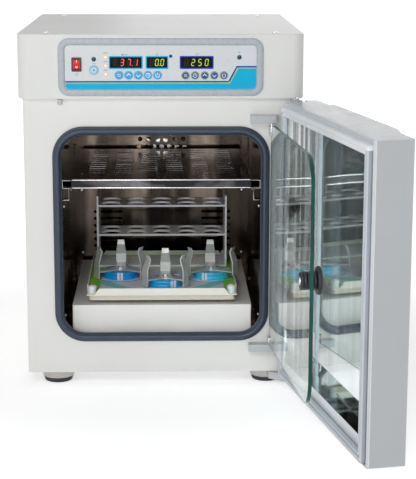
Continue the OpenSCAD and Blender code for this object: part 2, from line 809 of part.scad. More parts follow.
module drive_base() {
    plate_t = 4;
    color([0.5, 0.52, 0.54]) difference() {
        union() {
            box([-base_half, base_front, foot_h + bottom_t],
                [base_half, base_back, foot_h + bottom_t + plate_t]);
            box([-base_half, base_front, deck_z - plate_t], [base_half, base_back, deck_z]);
            for (x = [-1, 1], y = [base_front + 10, base_back - 10]) {
                post(7, foot_h + bottom_t + 1, deck_z - 1, x * (base_half - 10), y);
            }
        }
        post(12, deck_z - plate_t - 1, deck_z + 1, 0, drive_y);
    }
}

main_shaft_r = 7;
idler_shaft_r = 6;

module bearing_housings() {
    color([0.62, 0.64, 0.66]) {
        difference() {
            union() {
                post(26, deck_z, housing_top, 0, drive_y);
                post(34, deck_z, deck_z + 5, 0, drive_y);
            }
            post(main_shaft_r + running, deck_z - 1, housing_top + 1, 0, drive_y);
        }
        for (sx = [-1, 1]) difference() {
            union() {
                post(18, deck_z, housing_top, sx * idler_x, idler_axis_y);
                post(24, deck_z, deck_z + 5, sx * idler_x, idler_axis_y);
            }
            post(idler_shaft_r + running, deck_z + 1, housing_top + 1, sx * idler_x, idler_axis_y);
        }
    }
}

motor_top = deck_z - 4;
motor_shaft_r = 5;

module drive_motor() {
    color([0.15, 0.15, 0.17]) difference() {
        union() {
            post(motor_r, motor_top - motor_h, motor_top, 0, drive_y);
            box([motor_r - 6, drive_y - 14, motor_top - 26],
                [motor_r + 14, drive_y + 14, motor_top - 6]);
        }
        post(motor_shaft_r + running, motor_top - 30, motor_top + 1, 0, drive_y);
    }
}

module drive_crank() {
    disc_r = 42;
    disc_top = crank_z + crank_disc_t;
    color([0.55, 0.57, 0.6]) union() {
        post(disc_r, crank_z, disc_top, 0, drive_y);
        post(main_shaft_r, deck_z + 0.5, crank_z + 1, 0, drive_y);
        post(motor_shaft_r, motor_top - 28, deck_z + 1, 0, drive_y);
        post(crank_pin_r, crank_z + 1, pin_top, 0, drive_y - orbit_r);
        translate([0, drive_y, disc_top - eps]) linear_extrude(cover_top - sheet - 1 - disc_top)
            intersection() {
            difference() {
                circle(disc_r);
                circle(20);
            }
            translate([-disc_r, 4]) square([2 * disc_r, disc_r]);
        }
    }
}

module idler_crank(sx) {
    disc_top = crank_z + crank_disc_t;
    color([0.55, 0.57, 0.6]) union() {
        post(20, crank_z, disc_top, sx * idler_x, idler_axis_y);
        post(idler_shaft_r, deck_z + 1.5, crank_z + 1, sx * idler_x, idler_axis_y);
        post(idler_pin_r, crank_z + 1, pin_top, sx * idler_x, idler_axis_y - orbit_r);
    }
}

stud_r = 3;

module carriage_plate() {
    inset = 3;
    color([0.6, 0.62, 0.63]) difference() {
        translate([0, platform_mid, carriage_z]) linear_extrude(carriage_t)
            round_rect(platform_w - 2 * inset, platform_in_d - 2 * inset, 6);
        post(crank_pin_r + running, carriage_z - 1, tray_z + 1, 0, drive_y - orbit_r);
        for (sx = [-1, 1]) {
            post(idler_pin_r + 0.25, carriage_z - 1, tray_z + 1, sx * idler_x, idler_axis_y - orbit_r);
        }
        for (x = [-thumb_x, thumb_x], y = [thumb_front, thumb_back]) {
            post(stud_r + 0.1, carriage_z - 1, tray_z + 1, x, y);
        }
    }
}

module platform_tray() {
    rim_half = platform_w / 2 - 2 * thumb_r + 3.7;
    side_half = platform_in_d / 2 - 2 * thumb_r - 4;
    slant = 8;
    rim_top = tray_z + rim_h;
    color([0.93, 0.92, 0.86]) difference() {
        union() {
            translate([0, platform_mid, tray_z]) linear_extrude(tray_t)
                round_rect(platform_w, platform_in_d, 2);
            for (y = [platform_front + tray_t, platform_front + platform_in_d]) {
                translate([0, y, tray_z]) rotate([90, 0, 0]) linear_extrude(tray_t)
                    polygon([[-rim_half, 0], [rim_half, 0], [rim_half - slant, rim_h],
                        [slant - rim_half, rim_h]]);
            }
            for (x = [-platform_w / 2, platform_w / 2 - tray_t]) {
                translate([x, platform_mid, tray_z]) rotate([90, 0, 90]) linear_extrude(tray_t)
                    polygon([[-side_half, 0], [side_half, 0], [side_half - slant, rim_h],
                        [slant - side_half, rim_h]]);
            }
        }
        for (x = [-thumb_x, thumb_x], y = [thumb_front, thumb_back]) {
            post(stud_r + 0.3, tray_z - 1, rim_top, x, y);
        }
    }
}

module platform_mat() {
    inset = tray_t + 1;
    color([0.45, 0.75, 0.25]) translate([0, 0, mat_z]) linear_extrude(mat_t) difference() {
        translate([0, platform_mid]) round_rect(platform_w - 2 * inset, platform_in_d - 2 * inset, 3);
        for (x = [-thumb_x, thumb_x], y = [thumb_front, thumb_back]) {
            translate([x, y]) circle(thumb_r + 2);
        }
    }
}

module thumb_knobs() {
    seat = tray_z + tray_t;
    color([0.95, 0.95, 0.95]) for (x = [-thumb_x, thumb_x], y = [thumb_front, thumb_back]) {
        post(thumb_r, seat, seat + 3, x, y);
        post(thumb_r - 1, seat + 2, seat + thumb_h, x, y);
        post(stud_r, carriage_z + 1, seat + 1, x, y);
    }
}

module clamp_bases() {
    color([0.1, 0.45, 0.8]) for (c = clamps) {
        post(c[2], mat_top, mat_top + clamp_base_h, c[0], c[1]);
    }
}

finger_root = 6;

// Side profile of one finger: arm over the base, upright strip, leaning part, flared tip
module finger_profile(reach, foot) {
    t = finger_t;
    arm = clamp_base_h + 0.4;
    bend = finger_h - 23;
    neck = finger_h - 7;
    pinch = reach - finger_lean;
    polygon([[finger_root, arm], [reach - t, arm], [reach - t, foot], [reach, foot], [reach, bend],
        [pinch + t, neck],
        [pinch + t + 3, finger_h], [pinch + 3, finger_h], [pinch, neck], [reach - t, bend - 0.5],
        [reach - t, arm + t], [finger_root, arm + t]]);
}

module clamp_fingers() {
    half_foot = finger_w / 2;
    half_tip = finger_tip_w / 2;
    color([0.6, 0.61, 0.62]) for (i = [0 : 2]) translate([clamps[i][0], clamps[i][1], mat_top]) {
        reach = clamps[i][3];
        for (a = finger_angles) rotate([0, 0, a]) intersection() {
            translate([0, half_foot, 0]) rotate([90, 0, 0]) linear_extrude(finger_w)
                finger_profile(reach, finger_feet[i]);
            rotate([90, 0, 90]) linear_extrude(reach + 1)
                polygon([[-half_foot - 1, 0], [half_foot + 1, 0], [half_foot + 1, finger_h - 30],
                    [half_tip, finger_h + 1], [-half_tip, finger_h + 1],
                        [-half_foot - 1, finger_h - 30]]);
        }
        post(11, clamp_base_h, clamp_base_h + finger_t + 1);
    }
}

rack_columns = 5;
rack_rows = 2;

module rack_tier(z, drilled) {
    pitch_x = (rack_w - 2 * rack_t) / rack_columns;
    pitch_y = rack_d / rack_rows;
    translate([0, 0, z]) linear_extrude(rack_t) difference() {
        translate([-rack_w / 2 + eps, rack_front]) square([rack_w - 2 * eps, rack_d]);
        if (drilled) for (c = [0 : rack_columns - 1], r = [0 : rack_rows - 1]) {
            translate([(c - (rack_columns - 1) / 2) * pitch_x, rack_front + (r + 0.5) * pitch_y])
                circle(socket_r);
        }
    }
}

module tube_rack() {
    color([0.85, 0.85, 0.87]) union() {
        for (x = [-rack_w / 2, rack_w / 2 - rack_t]) {
            box([x, rack_front, mat_top], [x + rack_t, rack_front + rack_d, mat_top + rack_h]);
        }
        rack_tier(mat_top, false);
        rack_tier(mat_top + rack_h * 0.44, true);
        rack_tier(mat_top + rack_h - 18, true);
    }
}

module foot_cups() {
    color([0.75, 0.76, 0.78]) for (x = foot_xs, y = foot_ys) {
        translate([x, y, foot_pad_h + seat_gap])
            cylinder(h = foot_h - foot_pad_h - seat_gap, r1 = foot_cup_r - foot_taper, r2 = foot_cup_r);
        post(foot_stud_r, foot_h - 1, foot_h + 10, x, y);
    }
}

module foot_pads() {
    color([0.1, 0.1, 0.12]) for (x = foot_xs, y = foot_ys) {
        translate([x, y, 0])
            cylinder(h = foot_pad_h, r1 = foot_cup_r - 2 * foot_taper,
                r2 = foot_cup_r - foot_taper - 0.5);
    }
}

module power_inlet() {
    color([0.08, 0.08, 0.08]) difference() {
        union() {
            front_slab(inlet_w + 6, inlet_h + 6, 2, back_y, back_y + 3, inlet_x, inlet_z);
            box([inlet_x - inlet_w / 2 + 0.3, back_y - 24, inlet_z - inlet_h / 2 + 0.3],
                [inlet_x + inlet_w / 2 - 0.3, back_y + 1, inlet_z + inlet_h / 2 - 0.3]);
        }
        box([inlet_x - 12, back_y - 15, inlet_z + 2], [inlet_x + 12, back_y + 4, inlet_z + 18]);
        box([inlet_x - 9, back_y + 2, inlet_z - 18], [inlet_x + 9, back_y + 4, inlet_z - 6]);
    }
}

sensor_x = -body_w / 2 + 55;

module door_sensor() {
    sensor_low = door_top - seal_top_in + 0.8;
    color([0.65, 0.66, 0.68]) box([sensor_x - 3.5, front_y - 6, sensor_low],
        [sensor_x + 3.5, front_y, body_top - 0.8]);
}

plate_top = body_top - 0.5;
plate_r = 8;
low_plate_z = door_low - seat_gap;

module door_hinge_plates() {
    leg = 3;
    skirt_h = 10.5;
    skirt_x = door_pin_x - 36;
    lug = foot_in_y - foot_cup_r - 1;
    plate_x0 = door_pin_x - plate_r;
    plate_x1 = door_pin_x + 4.5;
    color([0.85, 0.85, 0.84]) {
        union() {
            box([plate_x0, door_pin_y, plate_top - hinge_plate_t], [plate_x1, front_y, plate_top]);
            post(plate_r, plate_top - hinge_plate_t, plate_top, door_pin_x, door_pin_y);
            box([plate_x0, front_y - leg, door_top - seal_top_in + 0.8],
                [plate_x1, front_y, plate_top]);
            post(door_pin_r, door_top - 14, plate_top + 4, door_pin_x, door_pin_y);
        }
        union() {
            translate([0, 0, low_plate_z - hinge_plate_t]) linear_extrude(hinge_plate_t) {
                polygon([[skirt_x, front_y], [plate_x0, door_pin_y], [plate_x1, door_pin_y],
                    [plate_x1, front_y + lug], [skirt_x, front_y + lug]]);
                translate([door_pin_x, door_pin_y]) circle(plate_r);
            }
            translate([0, 0, low_plate_z - skirt_h]) linear_extrude(skirt_h)
                polygon([[skirt_x, front_y + lug], [skirt_x, front_y], [plate_x0, door_pin_y],
                    [plate_x0 + leg, door_pin_y], [skirt_x + leg, front_y + 1],
                        [skirt_x + leg, front_y + lug]]);
            box([skirt_x, front_y + 1, low_plate_z - 1], [plate_x1, front_y + lug, foot_h]);
            post(door_pin_r, low_plate_z - 4, door_low + 14, door_pin_x, door_pin_y);
        }
    }
}

// Turns what is modelled closed into its open place at rest
module opened(axis_x, axis_y, angle) {
    translate([axis_x, axis_y, 0]) rotate([0, 0, angle]) translate([-axis_x, -axis_y, 0]) children();
}

module door_outline(inset) {
    half = door_w / 2 - inset;
    polygon([[-half, door_in], [half, door_in], [half, door_out + inset],
        [raise_points[3][0] - inset / 4, door_out + inset],
            [raise_points[2][0] - inset / 4, door_face + inset],
        [raise_points[1][0] + inset / 8, door_face + inset],
            [raise_points[0][0] + inset / 8, door_out + inset],
        [-half, door_out + inset]]);
}

boss_half = 5.8;
boss_h = 16;

module door_skin() {
    color([0.8, 0.81, 0.82]) opened(door_pin_x, door_pin_y, door_open) difference() {
        union() {
            difference() {
                translate([0, 0, door_low]) linear_extrude(door_h) door_outline(0);
                translate([0, eps, door_low + sheet]) linear_extrude(door_h - 2 * sheet)
                    door_outline(sheet);
            }
            for (z = [door_low + eps, door_top - boss_h]) {
                box([door_pin_x - boss_half, door_pin_y - 8, z],
                    [door_w / 2 - eps, door_pin_y + 8, z + boss_h - eps]);
            }
        }
        box([door_pin_x - 9, door_pin_y - 14, door_top - notch_d],
            [door_w / 2 + 1, door_in + 1, door_top + 1]);
        post(door_pin_r + running, door_top - 15, door_top + 1, door_pin_x, door_pin_y);
        post(door_pin_r + running, door_low - 1, door_low + 15, door_pin_x, door_pin_y);
    }
}

module door_core() {
    gap = seat_gap;
    wall = sheet + gap;
    pan = liner_t + gap;
    color([0.85, 0.82, 0.65]) opened(door_pin_x, door_pin_y, door_open) difference() {
        translate([0, 0, door_low + wall]) linear_extrude(door_h - 2 * wall) difference() {
            door_outline(wall);
            translate([-door_w, door_in - pan]) square([2 * door_w, 10]);
        }
        box([-recess_w / 2 - pan, door_in - recess_d - pan, recess_z0 - pan],
            [recess_w / 2 + pan, door_in + 1, recess_z1 + pan]);
        for (z = [door_low, door_top - boss_h - 4]) {
            box([door_pin_x - boss_half - 6, door_pin_y - 15, z],
                [door_w, door_in + 1, z + boss_h + 4]);
        }
    }
}

module door_liner() {
    rim_w = door_w - 2 * sheet - 2 * slip_gap;
    rim_z0 = door_low + sheet + slip_gap;
    rim_z1 = door_top - sheet - slip_gap;
    floor_y = door_in - recess_d;
    color([0.72, 0.73, 0.75]) opened(door_pin_x, door_pin_y, door_open) difference() {
        union() {
            box([-rim_w / 2, door_in - liner_t, rim_z0], [rim_w / 2, door_in, rim_z1]);
            box([-recess_w / 2 - liner_t, floor_y - liner_t, recess_z0 - liner_t],
                [recess_w / 2 + liner_t, door_in - eps, recess_z1 + liner_t]);
        }
        box([-recess_w / 2, floor_y, recess_z0], [recess_w / 2, door_in + 1, recess_z1]);
        box([door_pin_x - 9.5, door_in - liner_t - 1, door_top - notch_d - 0.5],
            [door_w, door_in + 1, door_top]);
    }
}

module door_seal() {
    seal_z0 = door_low + seal_low_in;
    seal_z1 = door_top - seal_top_in;
    mid_z = (seal_z0 + seal_z1) / 2;
    outer_w = door_w - 2 * seal_in;
    outer_h = seal_z1 - seal_z0;
    groove = 3;
    margin = (seal_w - groove) / 2;
    color([0.78, 0.81, 0.86]) opened(door_pin_x, door_pin_y, door_open) difference() {
        front_ring(outer_w, outer_h, 6, seal_w, door_in, door_in + seal_h, mid_z);
        front_ring(outer_w - 2 * margin, outer_h - 2 * margin, 4, groove, door_in + seal_h - 3,
            door_in + seal_h + 1, mid_z);
    }
}

module glass_hinge_brackets() {
    bracket_right = glass_pin_x + 9.5;
    bracket_left = bracket_right - bracket_w;
    bracket_front = glass_y - 5.2;
    corner = 4.2;
    color([0.62, 0.64, 0.67]) for (z = [low_bracket_z, top_bracket_z]) difference() {
        translate([0, 0, z]) linear_extrude(bracket_h)
            polygon([[bracket_left, front_y], [bracket_left, bracket_front],
                [bracket_right - corner, bracket_front], [bracket_right, bracket_front + corner],
                [bracket_right, front_y]]);
        post(glass_pin_r + running, z - 1, z + bracket_h + 1, glass_pin_x, glass_y);
    }
}

knuckle_h = 13;
low_knuckle_z = low_bracket_z + bracket_h + seat_gap;
top_knuckle_z = top_bracket_z - 4 - knuckle_h;

module glass_hinge_pins() {
    color([0.8, 0.8, 0.82]) {
        post(glass_pin_r, low_bracket_z + 1, low_knuckle_z + knuckle_h, glass_pin_x, glass_y);
        post(glass_pin_r, top_knuckle_z, top_bracket_z + bracket_h - 1, glass_pin_x, glass_y);
    }
}

glass_gap = 0.1;
hinge_edge = 6.5;

module glass_panel() {
    corner = 12;
    left = glass_pin_x - glass_reach;
    right = glass_pin_x - hinge_edge;
    color([0.6, 0.85, 0.8, 0.35]) opened(glass_pin_x, glass_y, glass_open) difference() {
        translate([0, glass_y + glass_t / 2, 0]) rotate([90, 0, 0]) linear_extrude(glass_t) {
            translate([left + glass_r, glass_low]) square([right - left - glass_r - corner, glass_h]);
            translate([left, glass_low + glass_r]) square([glass_r + eps, glass_h - 2 * glass_r]);
            translate([right - corner - eps, glass_low + corner])
                square([corner + eps, glass_h - 2 * corner]);
            for (z = [glass_low + glass_r, glass_top - glass_r]) translate([left + glass_r, z])
                circle(glass_r);
            for (z = [glass_low + corner, glass_top - corner]) translate([right - corner, z])
                circle(corner);
        }
        rod_y(6, glass_y - 10, glass_y + 10, knob_x, knob_z);
    }
}

module glass_fittings() {
    clip_x = glass_pin_x - 15;
    clip_t = 1.8;
    face = glass_t / 2 + glass_gap;
    color([0.5, 0.5, 0.52]) opened(glass_pin_x, glass_y, glass_open) {
        for (z = [low_knuckle_z, top_knuckle_z]) difference() {
            union() {
                post(knuckle_r, z, z + knuckle_h, glass_pin_x, glass_y);
                for (s = [-1, 1]) {
                    box([clip_x, glass_y + s * (face + clip_t / 2) - clip_t / 2, z],
                        [glass_pin_x, glass_y + s * (face + clip_t / 2) + clip_t / 2, z + knuckle_h]);
                }
            }
            post(glass_pin_r + running, z - 1, z + knuckle_h + 1, glass_pin_x, glass_y);
        }
        rod_y(knob_r, glass_y - face - bush_out - knob_t, glass_y - face - bush_out, knob_x, knob_z);
        for (i = [0 : 1]) {
            rod_y(bush_r, glass_y - face - (i + 0.9) * bush_out / 2,
                glass_y - face - i * bush_out / 2, knob_x, knob_z);
            rod_y(bush_r, glass_y + face + i * bush_l / 2, glass_y + face + (i + 0.85)
                * bush_l / 2, knob_x, knob_z);
        }
        rod_y(bush_r - 1.5, glass_y - face - bush_out - 1, glass_y - face, knob_x, knob_z);
        rod_y(bush_r - 1.5, glass_y + face, glass_y + face + bush_l, knob_x, knob_z);
        rod_y(5.5, glass_y - face - 2, glass_y + face + 2, knob_x, knob_z);
        rod_y(4, glass_y + face + bush_l - 0.5, glass_y + face + bush_l + 2, knob_x, knob_z);
    }
}

outer_cabinet();
bottom_plate();
rear_panel();
hood_cover();
case_screws();
fascia_bezel();
fascia_panel();
display_windows();
indicator_lamps();
power_switch_frame();
power_rocker();
control_board();
start_key();
heat_key(1);  // heat_key_1
heat_key(2);  // heat_key_2
heat_key(3);  // heat_key_3
heat_key(4);  // heat_key_4
heat_key(5);  // heat_key_5
shake_key(1);  // shake_key_1
shake_key(2);  // shake_key_2
shake_key(3);  // shake_key_3
shake_key(4);  // shake_key_4
shake_key(5);  // shake_key_5
chamber_liner();
insulation();
chamber_gasket();
air_duct_panel();
fan_motor();
fan_rotor();
heater_ring();
temperature_probe();
shelf_rails();
shelf();
drive_cover();
drive_base();
bearing_housings();
drive_motor();
drive_crank();
idler_crank(-1);  // idler_crank_left
idler_crank(1);  // idler_crank_right
carriage_plate();
platform_tray();
platform_mat();
thumb_knobs();
clamp_bases();
clamp_fingers();
tube_rack();
foot_cups();
foot_pads();
power_inlet();
door_sensor();
door_hinge_plates();
door_skin();
door_core();
door_liner();
door_seal();
glass_hinge_brackets();
glass_hinge_pins();
glass_panel();
glass_fittings();
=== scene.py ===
import bpy
import bmesh
import json
from math import atan2, cos, pi, radians, sin
from mathutils import Matrix, Vector

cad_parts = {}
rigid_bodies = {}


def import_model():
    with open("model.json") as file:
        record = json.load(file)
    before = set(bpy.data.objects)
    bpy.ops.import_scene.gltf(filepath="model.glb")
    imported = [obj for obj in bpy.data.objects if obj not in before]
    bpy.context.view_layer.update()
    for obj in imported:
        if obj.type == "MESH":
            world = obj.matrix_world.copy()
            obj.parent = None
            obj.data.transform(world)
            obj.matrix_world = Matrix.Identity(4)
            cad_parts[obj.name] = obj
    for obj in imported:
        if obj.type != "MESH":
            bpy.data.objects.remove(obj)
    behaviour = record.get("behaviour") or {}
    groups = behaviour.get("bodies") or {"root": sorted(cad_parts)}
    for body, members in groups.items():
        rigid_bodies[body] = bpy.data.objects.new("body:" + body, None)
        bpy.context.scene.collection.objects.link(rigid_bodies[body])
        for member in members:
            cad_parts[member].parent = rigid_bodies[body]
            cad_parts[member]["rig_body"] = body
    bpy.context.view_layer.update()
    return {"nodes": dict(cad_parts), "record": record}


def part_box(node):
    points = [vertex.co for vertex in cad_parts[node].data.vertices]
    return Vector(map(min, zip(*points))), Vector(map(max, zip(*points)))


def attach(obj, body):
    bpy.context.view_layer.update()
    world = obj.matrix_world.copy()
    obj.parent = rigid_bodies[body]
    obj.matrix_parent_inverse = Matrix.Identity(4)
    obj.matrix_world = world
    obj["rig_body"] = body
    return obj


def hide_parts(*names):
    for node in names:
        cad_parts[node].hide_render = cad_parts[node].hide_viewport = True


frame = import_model()
scene = bpy.context.scene
MM = 0.001
NODES = frame["nodes"]
SLOTS = {s["node"]: s["material_slot"] for s in frame["record"]["subparts"]}
JOINTS = {j["name"]: j for j in frame["record"]["behaviour"]["joints"]}
PLAIN = (1, 1, 1)
M = {}


def extent(node):
    """Lowest and highest corner of a CAD node, in millimetres."""
    return [[round(c / MM, 3) for c in corner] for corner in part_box(node)]


def axis_of(joint):
    """A point on a joint's axis, in millimetres."""
    return [round(c / MM, 3) for c in JOINTS[joint]["pos_m"]]


# Materials

def tint(r, g, b):
    """A colour written as 0-255 screen values, in linear light."""
    return (*[((c / 255 + 0.055) / 1.055) ** 2.4 if c > 10 else c / 255 / 12.92 for c in (r, g, b)], 1.0)


def shade(colour, k=1.0):
    """A colour made k times as bright, within 0-1 and opaque."""
    return tuple(min(1.0, max(0.0, v * k)) for v in colour[:3]) + (1.0,)


class Nodes:
    """The shader nodes of a material or world."""

    def __init__(self, owner):
        owner.use_nodes = True
        self.tree = owner.node_tree
        self.tree.nodes.clear()

    def node(self, kind, **props):
        n = self.tree.nodes.new("ShaderNode" + kind)
        for key, value in props.items():
            setattr(n, key, value)
        return n

    def join(self, a, b):
        self.tree.links.new(a, b)

    def feed(self, socket, value):
        """Sets a socket to a plain value, or links it to another node's output."""
        if isinstance(value, (int, float, tuple)):
            socket.default_value = value
        else:
            self.join(value, socket)

    def place(self, stretch=PLAIN):
        coords = self.node("TexCoord")
        mapping = self.node("Mapping")
        mapping.inputs["Scale"].default_value = stretch
        self.join(coords.outputs["Object"], mapping.inputs["Vector"])
        return mapping.outputs["Vector"]

    def noise(self, scale, detail=3.0, rough=0.5, stretch=PLAIN, warp=0.0):
        n = self.node("TexNoise")
        for key, value in {"Scale": scale, "Detail": detail, "Roughness": rough, "Distortion": warp}.items():
            n.inputs[key].default_value = value
        self.join(self.place(stretch), n.inputs["Vector"])
        return n.outputs["Fac"]

    def ramp(self, value, low, high, a=0.0, b=1.0):
        """a where the value is low or less, b where it is high or more."""
        n = self.node("MapRange")
        for key, limit in {"From Min": low, "From Max": high, "To Min": a, "To Max": b}.items():
            n.inputs[key].default_value = limit
        self.join(value, n.inputs["Value"])
        return n.outputs["Result"]

    def math(self, kind, a, b):
        n = self.node("Math", operation=kind)
        self.feed(n.inputs[0], a)
        self.feed(n.inputs[1], b)
        return n.outputs[0]

    def mix(self, fac, a, b):
        n = self.node("Mix", data_type="RGBA")
        self.join(fac, n.inputs[0])
        self.feed(n.inputs[6], a)
        self.feed(n.inputs[7], b)
        return n.outputs[2]

    def seen(self):
        """1 for rays from the camera, through glass and off a gloss, 0 for the rays that light the object."""
        path = self.node("LightPath")
        value = path.outputs["Is Camera Ray"]
        for kind in ("Is Transmission Ray", "Is Glossy Ray"):
            value = self.math("MAXIMUM", value, path.outputs[kind])
        return value


class Finish(Nodes):
    """A node material kept in M: one principled shader with noise for tone, gloss and relief."""

    def __init__(self, name, **sockets):
        self.mat = bpy.data.materials.new(name)
        super().__init__(self.mat)
        self.shader = self.node("BsdfPrincipled")
        self.out = self.node("OutputMaterial")
        self.join(self.shader.outputs[0], self.out.inputs["Surface"])
        for key, value in sockets.items():
            self.shader.inputs[key.replace("_", " ")].default_value = value
        M[name] = self.mat

    def height(self):
        """Height over the bench, in metres."""
        coords = self.node("TexCoord")
        split = self.node("SeparateXYZ")
        self.join(coords.outputs["Object"], split.inputs[0])
        return split.outputs["Z"]

    def edges(self, radius):
        """1 along outer edges, 0 on flat faces."""
        bevel = self.node("Bevel", samples=4)
        bevel.inputs["Radius"].default_value = radius * MM
        geo = self.node("NewGeometry")
        dot = self.node("VectorMath", operation="DOT_PRODUCT")
        self.join(bevel.outputs[0], dot.inputs[0])
        self.join(geo.outputs["Normal"], dot.inputs[1])
        return self.ramp(self.math("SUBTRACT", 1.0, dot.outputs["Value"]), 0.02, 0.25)

    def cloudy(self, scale, detail, colour, tone):
        """The colour, a little darker and lighter from place to place."""
        cloud = self.ramp(self.noise(scale, *detail), 0.3, 0.7)
        return self.mix(cloud, shade(colour, 1 - tone), shade(colour, 1 + tone))

    def colour(self, value):
        self.join(value, self.shader.inputs["Base Color"])

    def gloss(self, value):
        self.join(value, self.shader.inputs["Roughness"])

    def relief(self, *layers):
        """Each layer is (height 0-1, depth in mm)."""
        normal = None
        for value, depth in layers:
            bump = self.node("Bump")
            bump.inputs["Strength"].default_value = 1.0
            bump.inputs["Distance"].default_value = depth * MM
            self.join(value, bump.inputs["Height"])
            if normal is not None:
                self.join(normal, bump.inputs["Normal"])
            normal = bump.outputs["Normal"]
        self.join(normal, self.shader.inputs["Normal"])


def paint(name, colour, rough=(0.34, 0.46), tone=0.025, peel=0.012, edge_colour=None, low_darkening=None):
    """Baked paint on sheet metal: fine orange peel, faint tone change, edges in another colour in patches,
    darker in patches towards the bottom.
    """
    f = Finish(name)
    colour = tint(*colour)
    base = f.cloudy(5, (4,), colour, tone)
    base = f.mix(f.ramp(f.noise(420, 2), 0.66, 0.78, 0, 0.35), base, shade(colour, 0.9))
    if edge_colour:
        base = f.mix(f.math("MULTIPLY", f.edges(0.9), f.ramp(f.noise(60, 5), 0.4, 0.7)), base, tint(*edge_colour))
    # Darker in patches below the height high, most at the height low.
    if low_darkening:
        low, high, low_colour = low_darkening
        band = f.ramp(f.height(), high * MM, low * MM)
        patches = f.ramp(f.noise(25, 5, 0.6), 0.35, 0.75, 0, 0.5)
        base = f.mix(f.math("MULTIPLY", band, patches), base, tint(*low_colour))
    f.colour(base)
    f.gloss(f.ramp(f.noise(90, 3), 0.3, 0.7, *rough))
    f.relief((f.noise(900, 2), peel), (f.noise(3.5, 2), 0.25))


def metal(name, colour, rough, tone, brushed=PLAIN, brush=900, depth=0.004, wave=0, painted_reflection=None, drawn=PLAIN):
    """Bare metal, brushed or polished, its colours in linear light.

    A painted reflection is (colour, scale, stretch, share of it): streaks or patches of that colour that
    stand for light or dark surroundings seen in the metal; wave is the depth of dents stretched by drawn.
    """
    f = Finish(name, Metallic=1.0)
    grain = f.noise(brush, 3, 0.6, brushed)
    base = f.cloudy(14, (5, 0.6), colour, tone)
    base = f.mix(f.ramp(grain, 0.4, 0.62, 0, 0.25), base, shade(colour, 0.78))
    # Streaks of painted reflection, lighter or darker than the metal.
    if painted_reflection:
        reflection_colour, scale, stretch, share = painted_reflection
        cloud = f.ramp(f.noise(scale, 4, 0.55, stretch, 0.4), 0.45, 0.68, 0, share)
        base = f.mix(cloud, base, shade(reflection_colour))
    f.colour(base)
    smudge = f.ramp(f.noise(38, 6, 0.65, PLAIN, 0.6), 0.35, 0.75, *rough)
    f.gloss(f.math("ADD", smudge, f.ramp(grain, 0.3, 0.7, -0.02, 0.03)))
    layers = [(grain, depth)]
    if wave:
        layers.append((f.noise(9, 1, 0.5, drawn), wave))
    f.relief(*layers)


def moulded(name, colour, rough, tone=0.04, grain=0.01, scale=1400, edge_colour=None, speck=None,
            shine=0.5, **sockets):
    """Moulded plastic, rubber or ink: fine grain, tone change, lighter edges in patches, a painted highlight
    with some wear.
    """
    f = Finish(name, Specular_IOR_Level=shine, **sockets)
    base = f.cloudy(22, (4,), tint(*colour), tone)
    if speck:
        base = f.mix(f.ramp(f.noise(700, 2), 0.62, 0.7, 0, 0.6), base, tint(*speck))
    # Lighter colour on the edges in patches: a painted highlight, partly wear.
    if edge_colour:
        patches = f.ramp(f.noise(80, 4), 0.35, 0.7, 0, 0.8)
        base = f.mix(f.math("MULTIPLY", f.edges(0.7), patches), base, tint(*edge_colour))
    f.colour(base)
    f.gloss(f.ramp(f.noise(120, 4), 0.3, 0.7, *rough))
    f.relief((f.noise(scale, 2), grain))


def glowing(name, colour, strength, base=(0.02, 0.02, 0.02)):
    """A lit segment or lamp."""
    f = Finish(name, Roughness=0.25, Emission_Color=tint(*colour), Emission_Strength=strength)
    f.colour(f.mix(f.ramp(f.noise(300, 2), 0.3, 0.7), shade(base), shade(base, 1.4)))
    f.relief((f.noise(900, 2), 0.004))


def clear(name, colour):
    """Clear glass that lets light through to what is behind it."""
    f = Finish(name, Transmission_Weight=1.0, IOR=1.5)
    f.colour(f.mix(f.ramp(f.noise(12, 3), 0.3, 0.7), shade(colour), shade(colour, 0.985)))
    f.gloss(f.ramp(f.noise(26, 5, 0.6), 0.45, 0.8, 0, 0.03))
    through = f.node("BsdfTransparent")
    through.inputs[0].default_value = shade(colour, 0.8)
    path = f.node("LightPath")
    mix = f.node("MixShader")
    f.join(path.outputs["Is Shadow Ray"], mix.inputs[0])
    f.join(f.shader.outputs[0], mix.inputs[1])
    f.join(through.outputs[0], mix.inputs[2])
    f.join(mix.outputs[0], f.out.inputs["Surface"])


# Paint, in screen values like all plastics
paint("white_paint", (233, 233, 230), edge_colour=(205, 206, 205), low_darkening=(0, 40, (190, 190, 186)))
paint("hood_paint", (229, 230, 228), edge_colour=(206, 207, 206))
paint("door_paint", (186, 189, 192), rough=(0.3, 0.42))
# A lighter copy of the door paint for its rounded edges: a painted highlight.
paint("door_edge_highlight", (224, 227, 229), rough=(0.26, 0.36))
# A darker, warmer copy of the cover's paint for the carriage plate: painted shade under the tray.
paint("plate_paint", (214, 208, 192), rough=(0.4, 0.55))
paint("frame_paint", (226, 230, 235), rough=(0.3, 0.42))
paint("rear_paint", (224, 224, 221), rough=(0.4, 0.55), peel=0.02)
paint("cream_paint", (240, 241, 230), rough=(0.28, 0.4))
# The lighter edge paints of the tray and the cover are painted highlights on their rounded edges.
paint("cream_edge_highlight", (248, 248, 240), rough=(0.24, 0.34))
paint("cover_paint", (246, 246, 244), rough=(0.3, 0.42))
paint("cover_edge_highlight", (250, 250, 247), rough=(0.26, 0.36))

